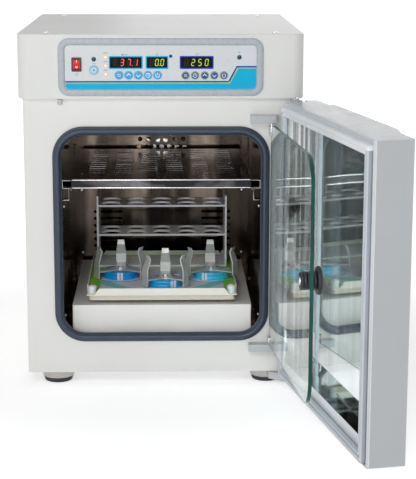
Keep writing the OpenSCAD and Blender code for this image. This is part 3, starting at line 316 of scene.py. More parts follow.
# Metal
# The chamber's, duct panel's, shelf's and rails' steel is near black, a painted reflection of dark
# surroundings; its lighter streaks are painted reflections too.
metal("chamber_steel", (0.03, 0.021, 0.016), (0.07, 0.18), 0.16, (1, 1, 0.02), 700, wave=2.2,
      painted_reflection=((0.5, 0.35, 0.24), 34, (1, 1, 0.03), 0.8), drawn=(1.7, 1.7, 0.16))
metal("duct_steel", (0.034, 0.027, 0.022), (0.08, 0.2), 0.1, (1, 1, 0.03), 800, wave=1.2,
      painted_reflection=((0.2, 0.16, 0.13), 24, (1, 1, 0.04), 0.7), drawn=(1.5, 1, 0.15))
metal("shelf_steel", (0.02, 0.02, 0.023), (0.08, 0.2), 0.1, (0.04, 1, 1), 900, 0.003, 0.5,
      painted_reflection=((0.22, 0.21, 0.21), 22, (0.6, 1, 1), 0.8))
# Pale steel for the rounded edges and hems of dark steel parts: a painted highlight.
metal("bright_edge", (0.78, 0.78, 0.77), (0.12, 0.24), 0.05, PLAIN, 1200, 0.002)
metal("rail_steel", (0.07, 0.065, 0.06), (0.12, 0.24), 0.1, (1, 0.04, 1), 900, 0.003)
# The door's mirror has darker streaks of painted reflection; the steel of its wall by the hinges is darker, a
# painted reflection, with thin bright streaks of painted highlight.
metal("mirror_steel", (0.9, 0.98, 1), (0.02, 0.07), 0.02, (1, 1, 0.05), 500, 0.0015, 0.35,
      painted_reflection=((0.46, 0.48, 0.5), 30, (1, 1, 0.03), 0.5))
metal("wall_steel", (0.2, 0.193, 0.19), (0.06, 0.14), 0.1, (1, 1, 0.01), 600, 0.002, 0.2,
      painted_reflection=((0.85, 0.86, 0.88), 170, (1, 1, 0.004), 0.95))
metal("steel", (0.5, 0.5, 0.51), (0.2, 0.36), 0.1, PLAIN, 1200)
metal("foot_metal", (0.46, 0.44, 0.42), (0.24, 0.4), 0.08, (1, 1, 0.1), 900)
metal("brass", (0.72, 0.55, 0.26), (0.2, 0.34), 0.08, PLAIN, 1200)
metal("chrome", (0.66, 0.67, 0.68), (0.08, 0.2), 0.05, PLAIN, 1500, 0.002)
metal("clip_metal", (0.6, 0.62, 0.64), (0.22, 0.36), 0.06, PLAIN, 1300)
metal("aluminium", (0.62, 0.63, 0.64), (0.24, 0.4), 0.06, (1, 1, 0.06), 1100)
metal("dark_metal", (0.1, 0.1, 0.105), (0.3, 0.45), 0.15, PLAIN, 900)
moulded("finger_zinc", (208, 211, 208), (0.34, 0.48), 0.05, 0.02, 600, Metallic=0.35)
# A darker copy of the fingers' grey for their rounded edges: painted shade.
moulded("finger_edge_shade", (148, 151, 150), (0.34, 0.48), 0.06, 0.01, 900, Metallic=0.5)

# Control panel
moulded("bezel", (177, 184, 191), (0.24, 0.32), 0.006, 0.005, 1600, edge_colour=(196, 202, 208))
moulded("fascia_film", (216, 220, 223), (0.26, 0.36), 0.012, 0.006, 1800)
moulded("red_plastic", (214, 12, 20), (0.18, 0.3), Emission_Color=tint(230, 16, 22),
        Emission_Strength=0.2, shine=0.25)
moulded("lamp_plastic", (8, 26, 40), (0.1, 0.2))
moulded("light_blue_key", (24, 166, 232), (0.24, 0.34), 0.03, 0.008)
moulded("rim_blue", (96, 196, 240), (0.24, 0.34), 0.03, 0.006)
moulded("start_cap", (208, 222, 232), (0.24, 0.34), 0.02, 0.006)
moulded("dark_blue_key", (14, 52, 156), (0.24, 0.34), 0.05, 0.008)
moulded("violet_key", (50, 62, 164), (0.24, 0.34), 0.05, 0.008)
moulded("clear_plastic", (7, 8, 9), (0.08, 0.16), 0.05, 0.002, shine=0.12)
moulded("dim_red", (44, 32, 36), (0.1, 0.2), 0.05, 0.002, shine=0.2)
moulded("dim_green", (38, 42, 36), (0.1, 0.2), 0.05, 0.002, shine=0.2)
# A pink for the collars and rings round the lamps: a painted glow.
moulded("lamp_halo", (240, 204, 208), (0.3, 0.4), 0.03, 0.004)
moulded("ink_cyan", (5, 184, 230), (0.3, 0.4), 0.03, 0.004, shine=0.15)
moulded("ink_navy", (4, 50, 186), (0.26, 0.36), 0.04, 0.004, shine=0.25)
moulded("ink_lime", (166, 210, 44), (0.26, 0.36), 0.04, 0.004, shine=0.25)
moulded("ink_white", (244, 246, 248), (0.26, 0.36), 0.01, 0.004)
moulded("ink_label", (120, 142, 180), (0.26, 0.36), 0.05, 0.004)
glowing("red_segment", (255, 34, 40), 1.5)
glowing("green_segment", (176, 214, 20), 0.95)
glowing("lamp_glow", (255, 220, 120), 1.15, (0.6, 0.5, 0.3))

# Plastic, rubber and glass
moulded("bracket_paint", (188, 193, 196), (0.26, 0.36), 0.03, 0.008, 1500, edge_colour=(222, 226, 228))
moulded("grey_plastic", (120, 124, 128), (0.35, 0.5))
moulded("dark_plastic", (24, 26, 29), (0.26, 0.4), edge_colour=(60, 62, 66))
moulded("knob_black", (22, 26, 34), (0.28, 0.42), 0.06, 0.012, 1100, edge_colour=(72, 80, 92))
moulded("board", (30, 92, 60), (0.3, 0.45), speck=(170, 150, 70))
moulded("foam", (226, 214, 170), (0.8, 0.95), 0.08, 0.12, 400)
moulded("gasket_rubber", (45, 57, 74), (0.36, 0.5), 0.06, 0.02, 1000)
moulded("seal_rubber", (203, 209, 216), (0.4, 0.56), 0.03, 0.02, 1100)
# Copies of the seal's grey: darker for its inner side and groove, painted shade, darkest for its foot, a
# painted shadow, and paler for its top run, a painted highlight.
moulded("seal_side_shade", (166, 172, 181), (0.45, 0.6), 0.05, 0.02, 1100)
moulded("seal_lit", (246, 249, 252), (0.4, 0.56), 0.03, 0.02, 1100)
moulded("seal_shadow", (150, 157, 166), (0.5, 0.64), 0.05, 0.02, 1100)
moulded("bead", (211, 214, 218), (0.34, 0.48), 0.03, 0.01, 1200)
moulded("mat_rubber", (148, 218, 62), (0.5, 0.66), 0.05, 0.05, 600, speck=(132, 202, 54))
moulded("ink_aqua", (150, 232, 230), (0.4, 0.55), 0.03, 0.02)
moulded("ink_lilac", (244, 245, 252), (0.4, 0.55), 0.03, 0.02)
moulded("foot_rubber", (38, 44, 54), (0.5, 0.68), 0.08, 0.04, 900)
moulded("knob_white", (236, 238, 240), (0.22, 0.34), 0.02, 0.012, 900, Subsurface_Weight=0.25,
        Subsurface_Scale=0.002)
moulded("strip_white", (234, 236, 238), (0.3, 0.42), 0.03, 0.01, edge_colour=(244, 245, 246))
moulded("rack_plastic", (246, 246, 249), (0.24, 0.38), 0.03, 0.01)
# A lighter copy of the rack's white for its rounded edges: a painted highlight.
moulded("rack_edge_highlight", (252, 252, 254), (0.2, 0.32), 0.02, 0.006)
moulded("blue_plastic", (2, 156, 236), (0.22, 0.36), 0.06, 0.01, edge_colour=(64, 184, 244))
moulded("cyan_blue_plastic", (4, 174, 240), (0.22, 0.36), 0.06, 0.01, edge_colour=(70, 190, 250))
moulded("cyan_plastic", (62, 200, 244), (0.22, 0.36), 0.05, 0.01, edge_colour=(110, 216, 248))
clear("glass", (0.925, 0.975, 0.955))
moulded("glass_edge", (1, 74, 66), (0.1, 0.2), 0.25, 0.006, 700, shine=0.25)


# Mesh tools, all in millimetres

PLACES = {"z": lambda p: p, "y": lambda p: (p[0], p[2], -p[1]), "-y": lambda p: (p[0], -p[2], p[1]),
          "x": lambda p: (p[2], p[1], -p[0]), "-x": lambda p: (-p[2], p[1], p[0])}


def on_circle(r, i, n):
    """Point i of n round a circle."""
    a = 2 * pi * i / n
    return r * cos(a), r * sin(a)


def make(name, verts, faces, body, mats, **more):
    """A mesh piece that rides on a body; what else it takes is named in wrap."""
    mesh = bpy.data.meshes.new(name)
    mesh.from_pydata([tuple(c * MM for c in v) for v in verts], [], faces)
    return wrap(name, mesh, body, mats, **more)


def placed(name, data):
    ob = bpy.data.objects.new(name, data)
    scene.collection.objects.link(ob)
    return ob


def wrap(name, mesh, body, mats, slot=None, stands_for=None, index=None, sharp=35, spin=None):
    """Finishes a mesh: index gives each face's material, spin turns it, sharp is a crisp edge's angle."""
    for m in [mats] if isinstance(mats, str) else mats:
        mesh.materials.append(M[m])
    if index is not None:
        mesh.polygons.foreach_set("material_index", index)
    bm = bmesh.new()
    bm.from_mesh(mesh)
    bmesh.ops.recalc_face_normals(bm, faces=bm.faces)
    bm.to_mesh(mesh)
    bm.free()
    if spin is not None:
        mesh.transform(spin)
    mesh.shade_smooth()
    mesh.set_sharp_from_angle(angle=radians(sharp))
    mesh.update()
    ob = placed(name, mesh)
    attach(ob, body)
    slot = slot or SLOTS.get(stands_for)
    if stands_for:
        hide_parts(stands_for)
    return ob


def longer(least):
    """Picks the edges over that length."""
    return lambda a, b, m: (b - a).length > least


def bevel(bm, edges, width, segments):
    """Rounds those edges and returns the new faces."""
    return bmesh.ops.bevel(bm, geom=edges, offset=width, offset_type="OFFSET", segments=segments, profile=0.5,
                           affect="EDGES", clamp_overlap=True)["faces"]


def soften(node, width, mat, pick=None, segments=2, angle=30, sharp=35, bevelled=0, pick_mat=None):
    """A copy of a CAD node with its edges rounded, which stands for the node.

    pick(end, end, middle) says which edges. The new faces take material number bevelled, and
    pick_mat(face, number) may change any face's number.
    """
    source = NODES[node]
    bm = bmesh.new()
    bm.from_mesh(source.data)
    bmesh.ops.remove_doubles(bm, verts=bm.verts, dist=2e-6)
    bmesh.ops.dissolve_limit(bm, angle_limit=radians(0.4), verts=bm.verts, edges=bm.edges)
    chosen = []
    for e in bm.edges:
        if len(e.link_faces) == 2 and e.calc_face_angle(0) > radians(angle):
            a, b = e.verts[0].co / MM, e.verts[1].co / MM
            if pick is None or pick(a, b, (a + b) / 2):
                chosen.append(e)
    for f in bm.faces:
        f.material_index = 0
    if chosen:
        for f in bevel(bm, chosen, width * MM, segments):
            f.material_index = bevelled
    if pick_mat:
        bm.normal_update()
        for f in bm.faces:
            f.material_index = pick_mat(f, f.material_index)
    bmesh.ops.triangulate(bm, faces=[f for f in bm.faces if len(f.verts) > 4])
    mesh = bpy.data.meshes.new(node + "_form")
    bm.to_mesh(mesh)
    bm.free()
    ob = wrap(node + "_form", mesh, source["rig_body"], mat, stands_for=node, sharp=sharp)
    weighted = ob.modifiers.new("normals", "WEIGHTED_NORMAL")
    weighted.keep_sharp = True


def coat(node, mat):
    """A CAD node that is shown as it is, in a better material."""
    NODES[node].data.materials.clear()
    NODES[node].data.materials.append(M[mat])


def box_path(w, h, r, steps):
    """A rounded rectangle's points and outward directions, anticlockwise."""
    points = []
    for cx, cz, start in ((1, 1, 0), (-1, 1, 90), (-1, -1, 180), (1, -1, 270)):
        for i in range(steps + 1):
            a = radians(start + 90 * i / steps)
            c, s = cos(a), sin(a)
            points.append((cx * (w / 2 - r) + r * c, cz * (h / 2 - r) + r * s, c, s))
    return points


def turned(profile, at=(0, 0, 0), axis="z", n=40, flute=None):
    """A turned form of (radius, height) points. flute(angle, radius, height) scales the radius."""
    verts, faces, rows = [], [], []
    for r, h in profile:
        count = n if r > 0 else 1
        rows.append(range(len(verts), len(verts) + count))
        for i in range(count):
            k = flute(2 * pi * i / n, r, h) if flute else 1
            verts.append((*on_circle(r * k, i, n), h))
    for a, b in zip(rows, rows[1:]):
        for i in range(n):
            j = (i + 1) % n
            if len(a) == 1:
                faces.append((a[0], b[j], b[i]))
            elif len(b) == 1:
                faces.append((a[i], a[j], b[0]))
            else:
                faces.append((a[i], a[j], b[j], b[i]))
    return [shifted(PLACES[axis](v), at) for v in verts], faces


def ribbed(count, depth, least_r, low, high):
    """A flute for turned: ribs where the radius is over least_r, between two heights."""
    return lambda a, r, h: 1 + (depth * cos(count * a) if r > least_r and low < h < high else 0)


def shifted(point, by):
    return tuple(a + b for a, b in zip(point, by))


def joined(parts):
    """Several (verts, faces) as one."""
    verts, faces = [], []
    for v, f in parts:
        base = len(verts)
        verts += v
        faces += [tuple(i + base for i in face) for face in f]
    return verts, faces


def swept(rows, k, closed):
    """Faces between rows of k points each; the ends are capped unless the last row meets the first."""
    steps = [(i * k, (i + 1) % rows * k) for i in range(rows if closed else rows - 1)]
    faces = [(a + j, a + (j + 1) % k, b + (j + 1) % k, b + j) for a, b in steps for j in range(k)]
    if not closed:
        faces += [tuple(range(k)), tuple(reversed(range((rows - 1) * k, rows * k)))]
    return faces


def plate(outline, y0, y1, view):
    """A flat form with that outline in the XZ or XY plane, from y0 to y1 across it."""
    verts = [(a, y, b) if view == "xz" else (a, b, y) for y in (y0, y1) for a, b in outline]
    return verts, swept(2, len(outline), False)


def form_of(bm):
    """A bmesh's verts and faces; the bmesh ends there."""
    bm.verts.index_update()
    verts = [tuple(v.co) for v in bm.verts]
    faces = [tuple(v.index for v in f.verts) for f in bm.faces]
    bm.free()
    return verts, faces


def block(lo, hi, edge):
    """A box with its edges cut back."""
    bm = bmesh.new()
    bmesh.ops.create_cube(bm, size=1)
    for v in bm.verts:
        v.co = Vector([(lo[i] + hi[i]) / 2 + v.co[i] * (hi[i] - lo[i]) for i in range(3)])
    bevel(bm, list(bm.edges), edge, 2)
    return form_of(bm)


def opened(joint):
    """The turn that takes a shut door to its place at rest: its lower limit is shut."""
    x, y, _ = axis_of(joint)
    c = Vector((x * MM, y * MM, 0))
    angle = radians(-JOINTS[joint]["range_deg"][0])
    return Matrix.Translation(c) @ Matrix.Rotation(angle, 4, "Z") @ Matrix.Translation(-c)


def circle(cx, cz, r, n):
    return [shifted(on_circle(r, i, n), (cx, cz)) for i in range(n)]


def oblong(x0, z0, x1, z1, radii=(0, 0, 0, 0), steps=6):
    """A rectangle with its own corner radii: low left, low right, top right, top left."""
    points = []
    corners = ((x0, z0, 1, 1, 180), (x1, z0, -1, 1, 270), (x1, z1, -1, -1, 0), (x0, z1, 1, -1, 90))
    for (x, z, sx, sz, start), r in zip(corners, radii):
        if r <= 0:
            points.append((x, z))
            continue
        for i in range(steps + 1):
            a = radians(start + 90 * i / steps)
            points.append((x + sx * r + r * cos(a), z + sz * r + r * sin(a)))
    return points


def bar(x0, z0, x1, z1, width):
    """A straight line of that width."""
    d = Vector((x1 - x0, z1 - z0)).normalized() * (width / 2)
    return [(x0 + d.y, z0 - d.x), (x1 + d.y, z1 - d.x), (x1 - d.y, z1 + d.x), (x0 - d.y, z0 + d.x)]


def ring(x, z, r0, r1):
    """A whole band for flat."""
    return x, z, r0, r1, 0, 360


def band_form(cx, cz, r0, r1, a0, a1, y0, y1):
    """A flat ring, or part of one, from y0 to y1."""
    full = a1 - a0 >= 360
    n = max(8, int(abs(a1 - a0) / 9))
    rows = n if full else n + 1
    verts = []
    for i in range(rows):
        a = radians(a0 + (a1 - a0) * i / n)
        for r, y in ((r0, y0), (r1, y0), (r1, y1), (r0, y1)):
            verts.append((cx + r * cos(a), y, cz + r * sin(a)))
    return verts, swept(rows, 4, full)


def flat(name, outlines, y0, y1, body, mat, bands=(), spin=None, slot="white_plastic", view="xz"):
    """Thin forms that lie on a face: each outline a plate, each band a ring."""
    parts = [plate(o, y0, y1, view) for o in outlines]
    parts += [band_form(*b, y0, y1) for b in bands]
    make(name, *joined(parts), body, mat, slot=slot, spin=spin)


def frame_ring(name, w, h, r, profile, body, mats, z, x=0, y=0, index=None, steps=10, **more):
    """A closed profile of (inset, way from y) points swept round a rounded rectangle in the XZ plane."""
    least_r = 0.5
    paths = [box_path(w - 2 * d, h - 2 * d, max(r - d, least_r), steps) for d, _ in profile]
    n, k = len(paths[0]), len(profile)
    verts = [(x + paths[j][i][0], y + profile[j][1], z + paths[j][i][1]) for i in range(n) for j in range(k)]
    return make(name, verts, swept(n, k, True), body, mats, index=index * n if index else None, **more)


def frame_as(node, r, profile, mat, y, **more):
    """A frame ring on the cabinet, as large as the CAD node that it stands for."""
    (x0, _, z0), (x1, _, z1) = extent(node)
    frame_ring(node + "_form", x1 - x0, z1 - z0, r, profile, "cabinet", mat, z=(z0 + z1) / 2, y=y,
               stands_for=node, **more)


def trim(name, path, profile, body, mat, **more):
    """A closed profile of (inset, y) points along an open path of (x, z, outward x, outward z) corners."""
    verts = [(x - nx * d, y, z - nz * d) for x, z, nx, nz in path for d, y in profile]
    make(name, verts, swept(len(path), len(profile), False), body, mat, **more)


def screw_head(r, h, at, axis, n=28):
    """A domed head with a cross recess."""
    arm, wide, deep = 0.5 * r, 0.13 * r, 0.62 * h
    cross = [(wide, arm), (wide, wide), (arm, wide)]
    while len(cross) < 12:
        x, y = cross[-3]
        cross.append((y, -x))
    bm = bmesh.new()
    dome = ((r, -0.05), (r, 0.3 * h), (0.88 * r, 0.7 * h), (0.68 * r, 0.97 * h))
    loops = [[bm.verts.new((*on_circle(rr, i, n), hh)) for i in range(n)] for rr, hh in dome]
    for a, b in zip(loops, loops[1:]):
        for i in range(n):
            bm.faces.new((a[i], a[(i + 1) % n], b[(i + 1) % n], b[i]))
    top = [bm.verts.new((x, y, 0.98 * h)) for x, y in cross]
    floor = [bm.verts.new((x * 0.8, y * 0.8, h - deep)) for x, y in cross]
    for i in range(12):
        bm.faces.new((top[i], top[(i + 1) % 12], floor[(i + 1) % 12], floor[i]))
    bm.faces.new(floor)
    bm.faces.new(list(reversed(loops[0])))
    rim = [bm.edges.get((loops[-1][i], loops[-1][(i + 1) % n])) for i in range(n)]
    rim += [bm.edges.get((top[i], top[(i + 1) % 12])) for i in range(12)]
    bmesh.ops.triangle_fill(bm, edges=rim, use_beauty=True)
    verts, faces = form_of(bm)
    return [shifted(PLACES[axis](v), at) for v in verts], faces


def screws(name, heads):
    make(name, *joined(heads), "cabinet", "chrome", slot="steel", sharp=40)


# Case

(_, FRONT, BODY_LOW), (BODY_SIDE, _, BODY_TOP) = extent("outer_cabinet")
(_, HOOD_FRONT, HOOD_LOW), (_, _, HOOD_TOP) = extent("hood_cover")
DOOR_X, DOOR_Y, _ = axis_of("outer_door_hinge")
DOOR_TURN = opened("outer_door_hinge")
GLASS_X, GLASS_Y, _ = axis_of("glass_door_hinge")
GLASS_TURN = opened("glass_door_hinge")


def cabinet_edge(a, b, m):
    """The rim of the chamber mouth, the top edges and the upright corners."""
    mouth = m.y < FRONT + 0.3 and abs(m.x) < 160 and 60 < m.z < 400
    return mouth or m.z > BODY_TOP - 0.5 or (abs(m.x) > BODY_SIDE - 0.5 and m.z > BODY_LOW + 1)


def hood_edge(a, b, m):
    """The outer edges of the hood's top and of its lower rim."""
    level = m.z > HOOD_TOP - 0.3 or m.z < HOOD_LOW + 0.1
    return level and (abs(m.x) > 205 or abs(m.y) > 223) and (b - a).length > 0.8


soften("outer_cabinet", 1.1, "white_paint", segments=3, pick=cabinet_edge)
soften("bottom_plate", 0.4, "steel", pick=longer(60))
soften("rear_panel", 0.5, "rear_paint", pick=longer(20))
soften("hood_cover", 1.2, "hood_paint", segments=3, pick=hood_edge)
soften("door_hinge_plates", 0.5, "bracket_paint", pick=longer(3))
soften("door_sensor", 0.8, "bracket_paint", segments=3)

# Screws of the hood, the rear panel and the upper hinge plate
hood_screws = [screw_head(4, 1.6, (x, y, HOOD_TOP), "z") for x in (-168, 168) for y in (-213.5, 195.5)]
make("case_screw_heads", *joined(hood_screws), "cabinet", "chrome", stands_for="case_screws", sharp=40)
rear_low, rear_high = extent("rear_panel")
rear_margin = 9
rear_xs = [rear_low[0] + rear_margin, 0, rear_high[0] - rear_margin]
rear_zs = [rear_low[2] + rear_margin, (rear_low[2] + rear_high[2]) / 2, rear_high[2] - rear_margin]
rear_screws = [screw_head(3.2, 1.3, (x, rear_high[1] - 0.05, z), "y") for x in rear_xs for z in rear_zs
               if not (x == 0 and z == rear_zs[1])]
screws("rear_screw_heads", rear_screws)
pin_head = turned([(0, 1.7), (1.7, 1.5), (2.8, 0.9), (3.1, 0.2), (3.1, -0.4)], (DOOR_X, DOOR_Y, 441.9), n=28)
hinge_screws = [screw_head(2.6, 1, (196.4, y, 437.95), "z") for y in (-243.5, -236)]
screws("hinge_pin_heads", [pin_head] + hinge_screws)

# Feet: turned metal cups with a rolled rim, on grooved rubber pads
FEET = [(x, y, 0) for x in (-160, 160) for y in (-200, 200)]
CUP = [(0, 7.3), (22.6, 7.3), (23.5, 7.6), (24.2, 9.6), (25.2, 14.6), (25.9, 17.8), (26.5, 18.6),
       (26.5, 19.6), (26.1, 20), (3, 20), (3, 30), (0, 30)]
PAD = [(0, 0), (19.6, 0), (20.5, 0.5), (21.1, 1.6), (20.7, 2), (20.7, 2.6), (21.5, 2.9), (22.2, 4.6),
       (21.9, 5), (21.9, 5.5), (22.7, 5.8), (23, 6.6), (22.7, 7), (0, 7)]
for name, profile, mat in (("foot_cup", CUP, "foot_metal"), ("foot_pad", PAD, "foot_rubber")):
    feet = [turned(profile, at, n=56) for at in FEET]
    make(name + "_forms", *joined(feet), "cabinet", mat, stands_for=name + "s", sharp=40)

# Power inlet: recessed socket with three blades and a fuse drawer
soften("power_inlet", 0.6, "dark_plastic", pick=longer(5))
blades = [block((x - 1, 217.5, z - 2.6), (x + 1, 230.5, z + 2.6), 0.4) for x, z in
          ((116.5, 98), (130.5, 98), (123.5, 102.5))]
make("inlet_blades", *joined(blades), "cabinet", "brass", slot="steel")
drawer = [block((115, 231.2, 72.6), (132, 234, 83.4), 0.5),
          block((120.5, 233.6, 76.6), (126.5, 234.4, 79.4), 0.3)]
make("fuse_drawer", *joined(drawer), "cabinet", "grey_plastic", slot="dark_plastic")


# Control panel

FASCIA = extent("fascia_panel")[0][1]
WINDOW = extent("display_windows")[0][1]
frame_as("fascia_bezel", 16,
         [(0, 0), (0, -1), (0.35, -1.6), (1.1, -2.1), (2.2, -2.35), (4.9, -2.4), (7.4, -2.35), (8.7, -2.1),
          (9.5, -1.55), (9.8, -1), (9.8, 0)], "bezel", HOOD_FRONT, steps=14)
coat("fascia_panel", "fascia_film")
coat("display_windows", "clear_plastic")
coat("control_board", "board")
soften("power_switch_frame", 0.35, "dark_plastic", pick=lambda a, b, m: m.y < -241 and (b - a).length > 1)

# Generic bands of colour on the film: low along the panel, stepping up at the right
INK = (FASCIA - 0.06, FASCIA)
EDGE = 139.7
STRIPES = {"cyan": [oblong(-EDGE, 453.2, EDGE, 461.4, (6, 6, 0, 0)),
                    [(101, 461.35), (EDGE, 461.35), (EDGE, 483.2), (113.6, 483.2)]],
           "lime": [oblong(-EDGE, 461.5, 100.9, 462.9),
                    [(100.1, 462.9), (101.7, 462.3), (114.3, 484.7), (112.4, 484.7)],
                    [(112.4, 483.3), (EDGE, 483.3), (EDGE, 484.7), (113.2, 484.7)]],
           "navy": [oblong(-EDGE, 463, 99.4, 465.1),
                    [(98.6, 465.1), (100.6, 463.7), (112.9, 486.9), (110.6, 486.9)],
                    [(111.6, 484.8), (EDGE, 484.8), (EDGE, 486.9), (111.6, 486.9)]]}
for ink, outlines in STRIPES.items():
    flat("band_" + ink, outlines, *INK, "cabinet", "ink_" + ink)

# Displays: (name, middle x, width, digits, digits with a point after them, colour of border and digits)
DISPLAY_Z = 492.05
DISPLAYS = [("heat_digits", -51.1, 46, " 371", (2,), "ink_cyan", "red"),
            ("time_digits", -5.6, 29.7, " 00", (1,), "ink_cyan", "green"),
            ("speed_digits", 52.3, 46, " 250", (), "ink_navy", "green")]
SEGMENTS = {" ": "", "0": "abcdef", "1": "bc", "2": "abged", "3": "abgcd", "5": "afgcd", "7": "abc"}


def segment_shapes(cx, cz, w=5.3, h=10.4, t=1.15, gap=0.16, lean=0.12):
    """Outlines of the seven segments of a digit, by letter."""
    def across(z, start, end):
        a, b = start + gap, end - gap
        return [(a, z), (a + t / 2, z + t / 2), (b - t / 2, z + t / 2), (b, z), (b - t / 2, z - t / 2),
                (a + t / 2, z - t / 2)]

    def up(x, z0, z1):
        return [(side, z) for z, side in across(x, z0, z1)]

    left, right = (t - w) / 2, (w - t) / 2
    low, mid, top = (t - h) / 2, 0, (h - t) / 2
    shapes = {"f": up(left, mid, top), "b": up(right, mid, top), "e": up(left, low, mid),
              "c": up(right, low, mid)}
    shapes.update({key: across(z, left, right) for key, z in (("a", top), ("g", mid), ("d", low))})
    return {k: [(cx + x + z * lean, cz + z) for x, z in v] for k, v in shapes.items()}


for i, (name, x, w, digits, dots, ink, glow) in enumerate(DISPLAYS):
    frame_ring(f"display_border_{i + 1}", w + 3.6, 19, 1.4,
               [(0, FASCIA), (0.05, FASCIA - 0.12), (1.65, FASCIA - 0.12), (1.7, FASCIA)], "cabinet", ink,
               z=DISPLAY_Z, x=x, steps=4)
for name, x, w, digits, dots, ink, glow in DISPLAYS:
    lit, dim = [], []
    pitch = (w - 6.4) / len(digits)
    for i, ch in enumerate(digits):
        cx = x - w / 2 + 3 + (i + 0.5) * pitch
        for key, shape in segment_shapes(cx, DISPLAY_Z).items():
            (lit if key in SEGMENTS[ch] else dim).append(shape)
        (lit if i in dots else dim).append(circle(cx + pitch / 2 - 0.5, DISPLAY_Z - 4.6, 0.62, 10))
    flat(name + "_lit", lit, WINDOW - 0.07, WINDOW, "cabinet", glow + "_segment")
    flat(name + "_unlit", dim, WINDOW - 0.03, WINDOW, "cabinet", "dim_" + glow)

# Lamps with their collars, and round telltales; the collars and a ring round each lamp are pink, a painted
# glow
LAMPS = [(-80.5, z) for z in (474.95, 487.35, 499.75)]
TELLTALES = [(-97.6, 496.85, 2.9), (14.4, 501.15, 2), (114.6, 499.45, 2.9)]
LENS = [(0, 1.5), (0.8, 1.4), (1.4, 1.1), (1.6, 0.6), (1.6, -3), (0, -3)]
COLLAR = [(1.55, 1), (1.9, 1.2), (2.2, 1), (2.2, -2), (1.55, -2), (1.55, 1)]
lenses, collars = [[turned(form, (x, -240.3, z), "-y", 24) for x, z in LAMPS] for form in (LENS, COLLAR)]
telltales = [turned([(0, 0.6), (r * 0.5, 0.52), (r * 0.85, 0.3), (r, 0), (r, -3), (0, -3)],
                    (x, -240.7, z), "-y", 28) for x, z, r in TELLTALES]
make("lamp_lenses", *joined(lenses), "cabinet", "lamp_glow", stands_for="indicator_lamps", sharp=50)
make("lamp_collars", *joined(collars), "cabinet", "lamp_halo", slot="dark_plastic", sharp=50)
make("telltale_lenses", *joined(telltales), "cabinet", "lamp_plastic", slot="dark_plastic", sharp=50)
flat("painted_lamp_halos", [], *INK, "cabinet", "lamp_halo", bands=[ring(x, z, 2.3, 3.1) for x, z in LAMPS])
flat("telltale_rims", [], *INK, "cabinet", "ink_cyan",
     bands=[ring(x, z, r + 0.12, r + 0.75) for x, z, r in TELLTALES])

# Small pictograms: over each lamp, over the displays, under the switch, over the start key and a telltale
marks = []
for x, z in LAMPS:
    marks.append(oblong(x - 3.6, z + 5.3, x + 3.6, z + 5.9))
    marks.append(oblong(x - 2.2, z + 6.5, x + 2.2, z + 7))
marks += [bar(-55.5, 503.3, -48.5, 503.3, 0.7), circle(-56.2, 503.3, 1.25, 16),
          bar(-52, 504.1, -52, 505.1, 0.35), bar(-50, 504.1, -50, 505.1, 0.35),
          bar(-5.6, 503.8, -5.6, 504.9, 0.35), bar(-5.6, 503.8, -4.8, 503.8, 0.35),
          [(52.9, 504.1), (54.5, 505.3), (54.2, 503.4)], bar(-122.8, 474.9, -122.8, 477, 0.45),
          oblong(113.1, 505.7, 116.1, 506.4), oblong(-100.4, 490.6, -94.8, 491.1)]
bands = [ring(-5.6, 503.8, 1.35, 1.75), (52.3, 503.8, 1.35, 1.8, 40, 320),
         (-122.8, 474.6, 1.5, 1.95, 120, 420), (114.6, 506.6, 1.1, 1.5, 0, 180)]
flat("panel_pictograms", marks, *INK, "cabinet", "ink_label", bands=bands)

# Power rocker with a mark on each of its two slopes
soften("power_rocker", 0.35, "red_plastic", pick=longer(2), segments=3)
REST_TILT = -8
SLOPE = atan2(1.2, 9.2)
tilt = Matrix.Translation(Vector(axis_of("power_rocker_tilt")) * MM) @ Matrix.Rotation(
    radians(REST_TILT), 4, "X")
upper, lower = [Matrix.Translation((0, -4.98 * MM, s * 4.3 * MM)) @ Matrix.Rotation(s * SLOPE, 4, "X")
                for s in (1, -1)]
for name, outlines, bands, slope in (("rocker_on_mark", [oblong(-0.4, -1.6, 0.4, 1.6)], [], upper),
                                     ("rocker_off_mark", [], [ring(0, 0, 1, 1.6)], lower)):
    flat(name, outlines, -0.09, 0.1, "rocker", "ink_white", spin=tilt @ slope, bands=bands)

# Keys: (node, radius, cap, rim); domed caps with a rim and a mark
KEY_FACE = extent("start_key")[0][1]
KEYS = [("start_key", 6.7, "start_cap", "ink_cyan")]
KEYS += [(f"heat_key_{i}", 6.2, "light_blue_key", "rim_blue") for i in range(1, 6)]
KEYS += [(f"shake_key_{i}", 5.7, "dark_blue_key", "ink_lime") for i in range(1, 5)]
KEYS += [("shake_key_5", 5.7, "violet_key", "ink_lime")]


